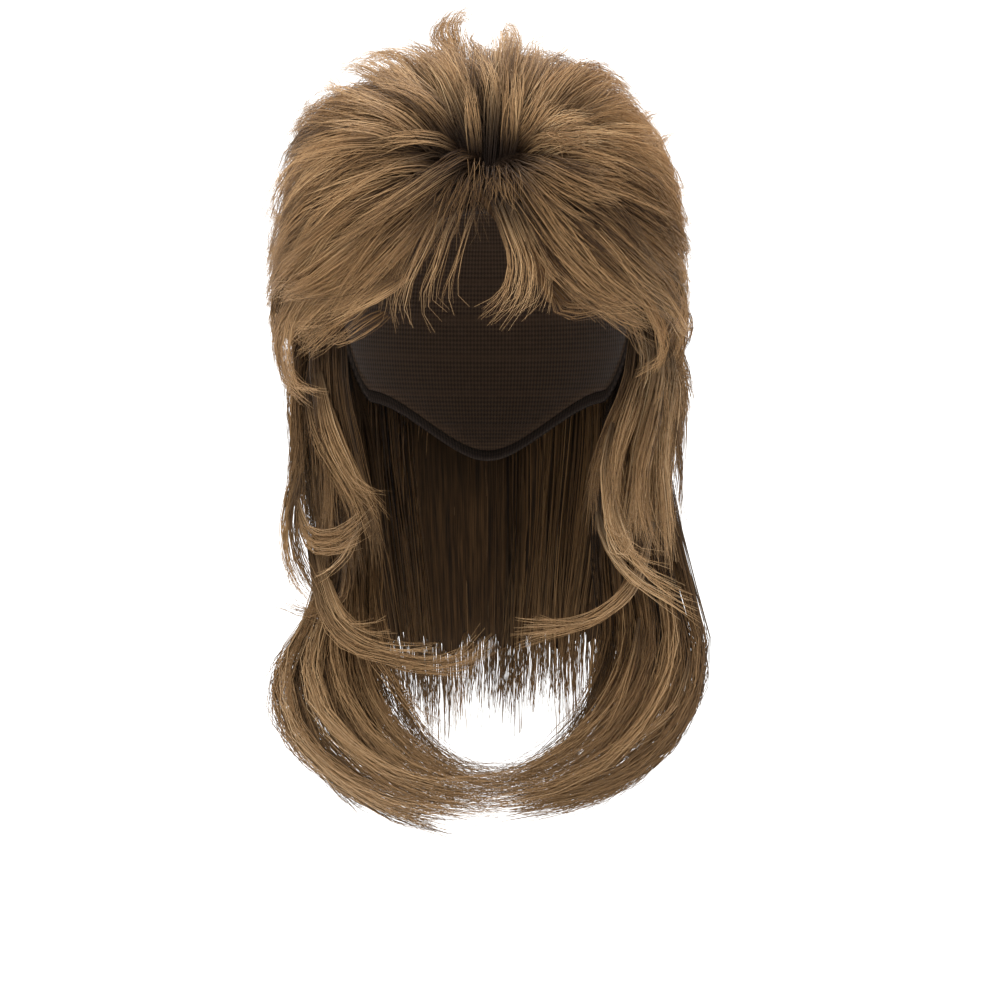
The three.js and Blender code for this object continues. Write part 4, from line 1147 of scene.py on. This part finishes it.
# The studio, in metres: the level of its floor, how deep it is before it bends up and how high it
# goes, and its lamps by place, aim, size and watts.
FLOOR = -0.452
FLOOR_DEPTH = 1.9
FLOOR_BEND = 0.9
FLOOR_WIDTH = 10
WIG_MIDDLE = (0, 0, -0.15)
LAMPS = {
    "key_light": ((-0.9, -1.5, 1.1), WIG_MIDDLE, 0.8, 16),
    "fill_light": ((1.3, -1.4, 0.3), WIG_MIDDLE, 1.3, 9),
    "top_light": ((0.1, -0.2, 1.5), WIG_MIDDLE, 1, 11),
    "paper_light": ((0, 0.9, 2.2), (0, 2.8, 0), 2, 60),
}
WORLD_STRENGTH = 0.85
CAMERA = (0.0065, -1.6, -0.181)
CAMERA_LENS = 115.2


def studio():
    """A pale floor that runs up into a backdrop, soft lights and the camera."""
    floor = new_object("studio_sweep", bpy.data.meshes.new("studio_sweep"))
    profile = [(-4, FLOOR), (FLOOR_DEPTH, FLOOR)]
    profile += [(FLOOR_DEPTH + FLOOR_BEND * math.sin(a), FLOOR + FLOOR_BEND * (1 - math.cos(a)))
                for a in np.linspace(0.1, math.pi / 2, 12)]
    profile += [(FLOOR_DEPTH + FLOOR_BEND, 4)]
    points = [(x, y, z) for x in (-FLOOR_WIDTH / 2, FLOOR_WIDTH / 2) for y, z in profile]
    n = len(profile)
    floor.data.from_pydata(points, [], [(k, n + k, n + k + 1, k + 1) for k in range(n - 1)])
    floor.data.shade_smooth()
    material, graph = new_material("studio_paper")
    grain = graph.node("ShaderNodeTexNoise", values={"Scale": 3, "Detail": 2})
    colour = graph.mix(grain, linear(238, 238, 238), linear(244, 244, 244))
    principled(graph, colour, 0.9, specular=0.1)
    floor.data.materials.append(material)

    for name, (place, aim, size, watts) in LAMPS.items():
        light = bpy.data.lights.new(name, "AREA")
        light.shape = "DISK"
        light.size = size
        light.energy = watts
        lamp = new_object(name, light)
        lamp.location = place
        lamp.rotation_euler = (Vector(aim) - Vector(place)).to_track_quat("-Z", "Y").to_euler()
    world = bpy.data.worlds.new("studio_world")
    world.use_nodes = True
    background = world.node_tree.nodes["Background"].inputs
    background["Color"].default_value = (1, 1, 1, 1)
    background["Strength"].default_value = WORLD_STRENGTH
    bpy.context.scene.world = world
    bpy.context.scene.view_settings.view_transform = "Standard"

    camera = bpy.data.cameras.new("camera")
    camera.lens = CAMERA_LENS
    view = new_object("camera", camera)
    view.location = CAMERA
    view.rotation_euler = (math.pi / 2, 0, 0)
    bpy.context.scene.camera = view


studio()
cap_pieces()
crown_pieces()
wing_pieces()
fringe_piece()
hanging_pieces()
nape_piece()
layer_piece()
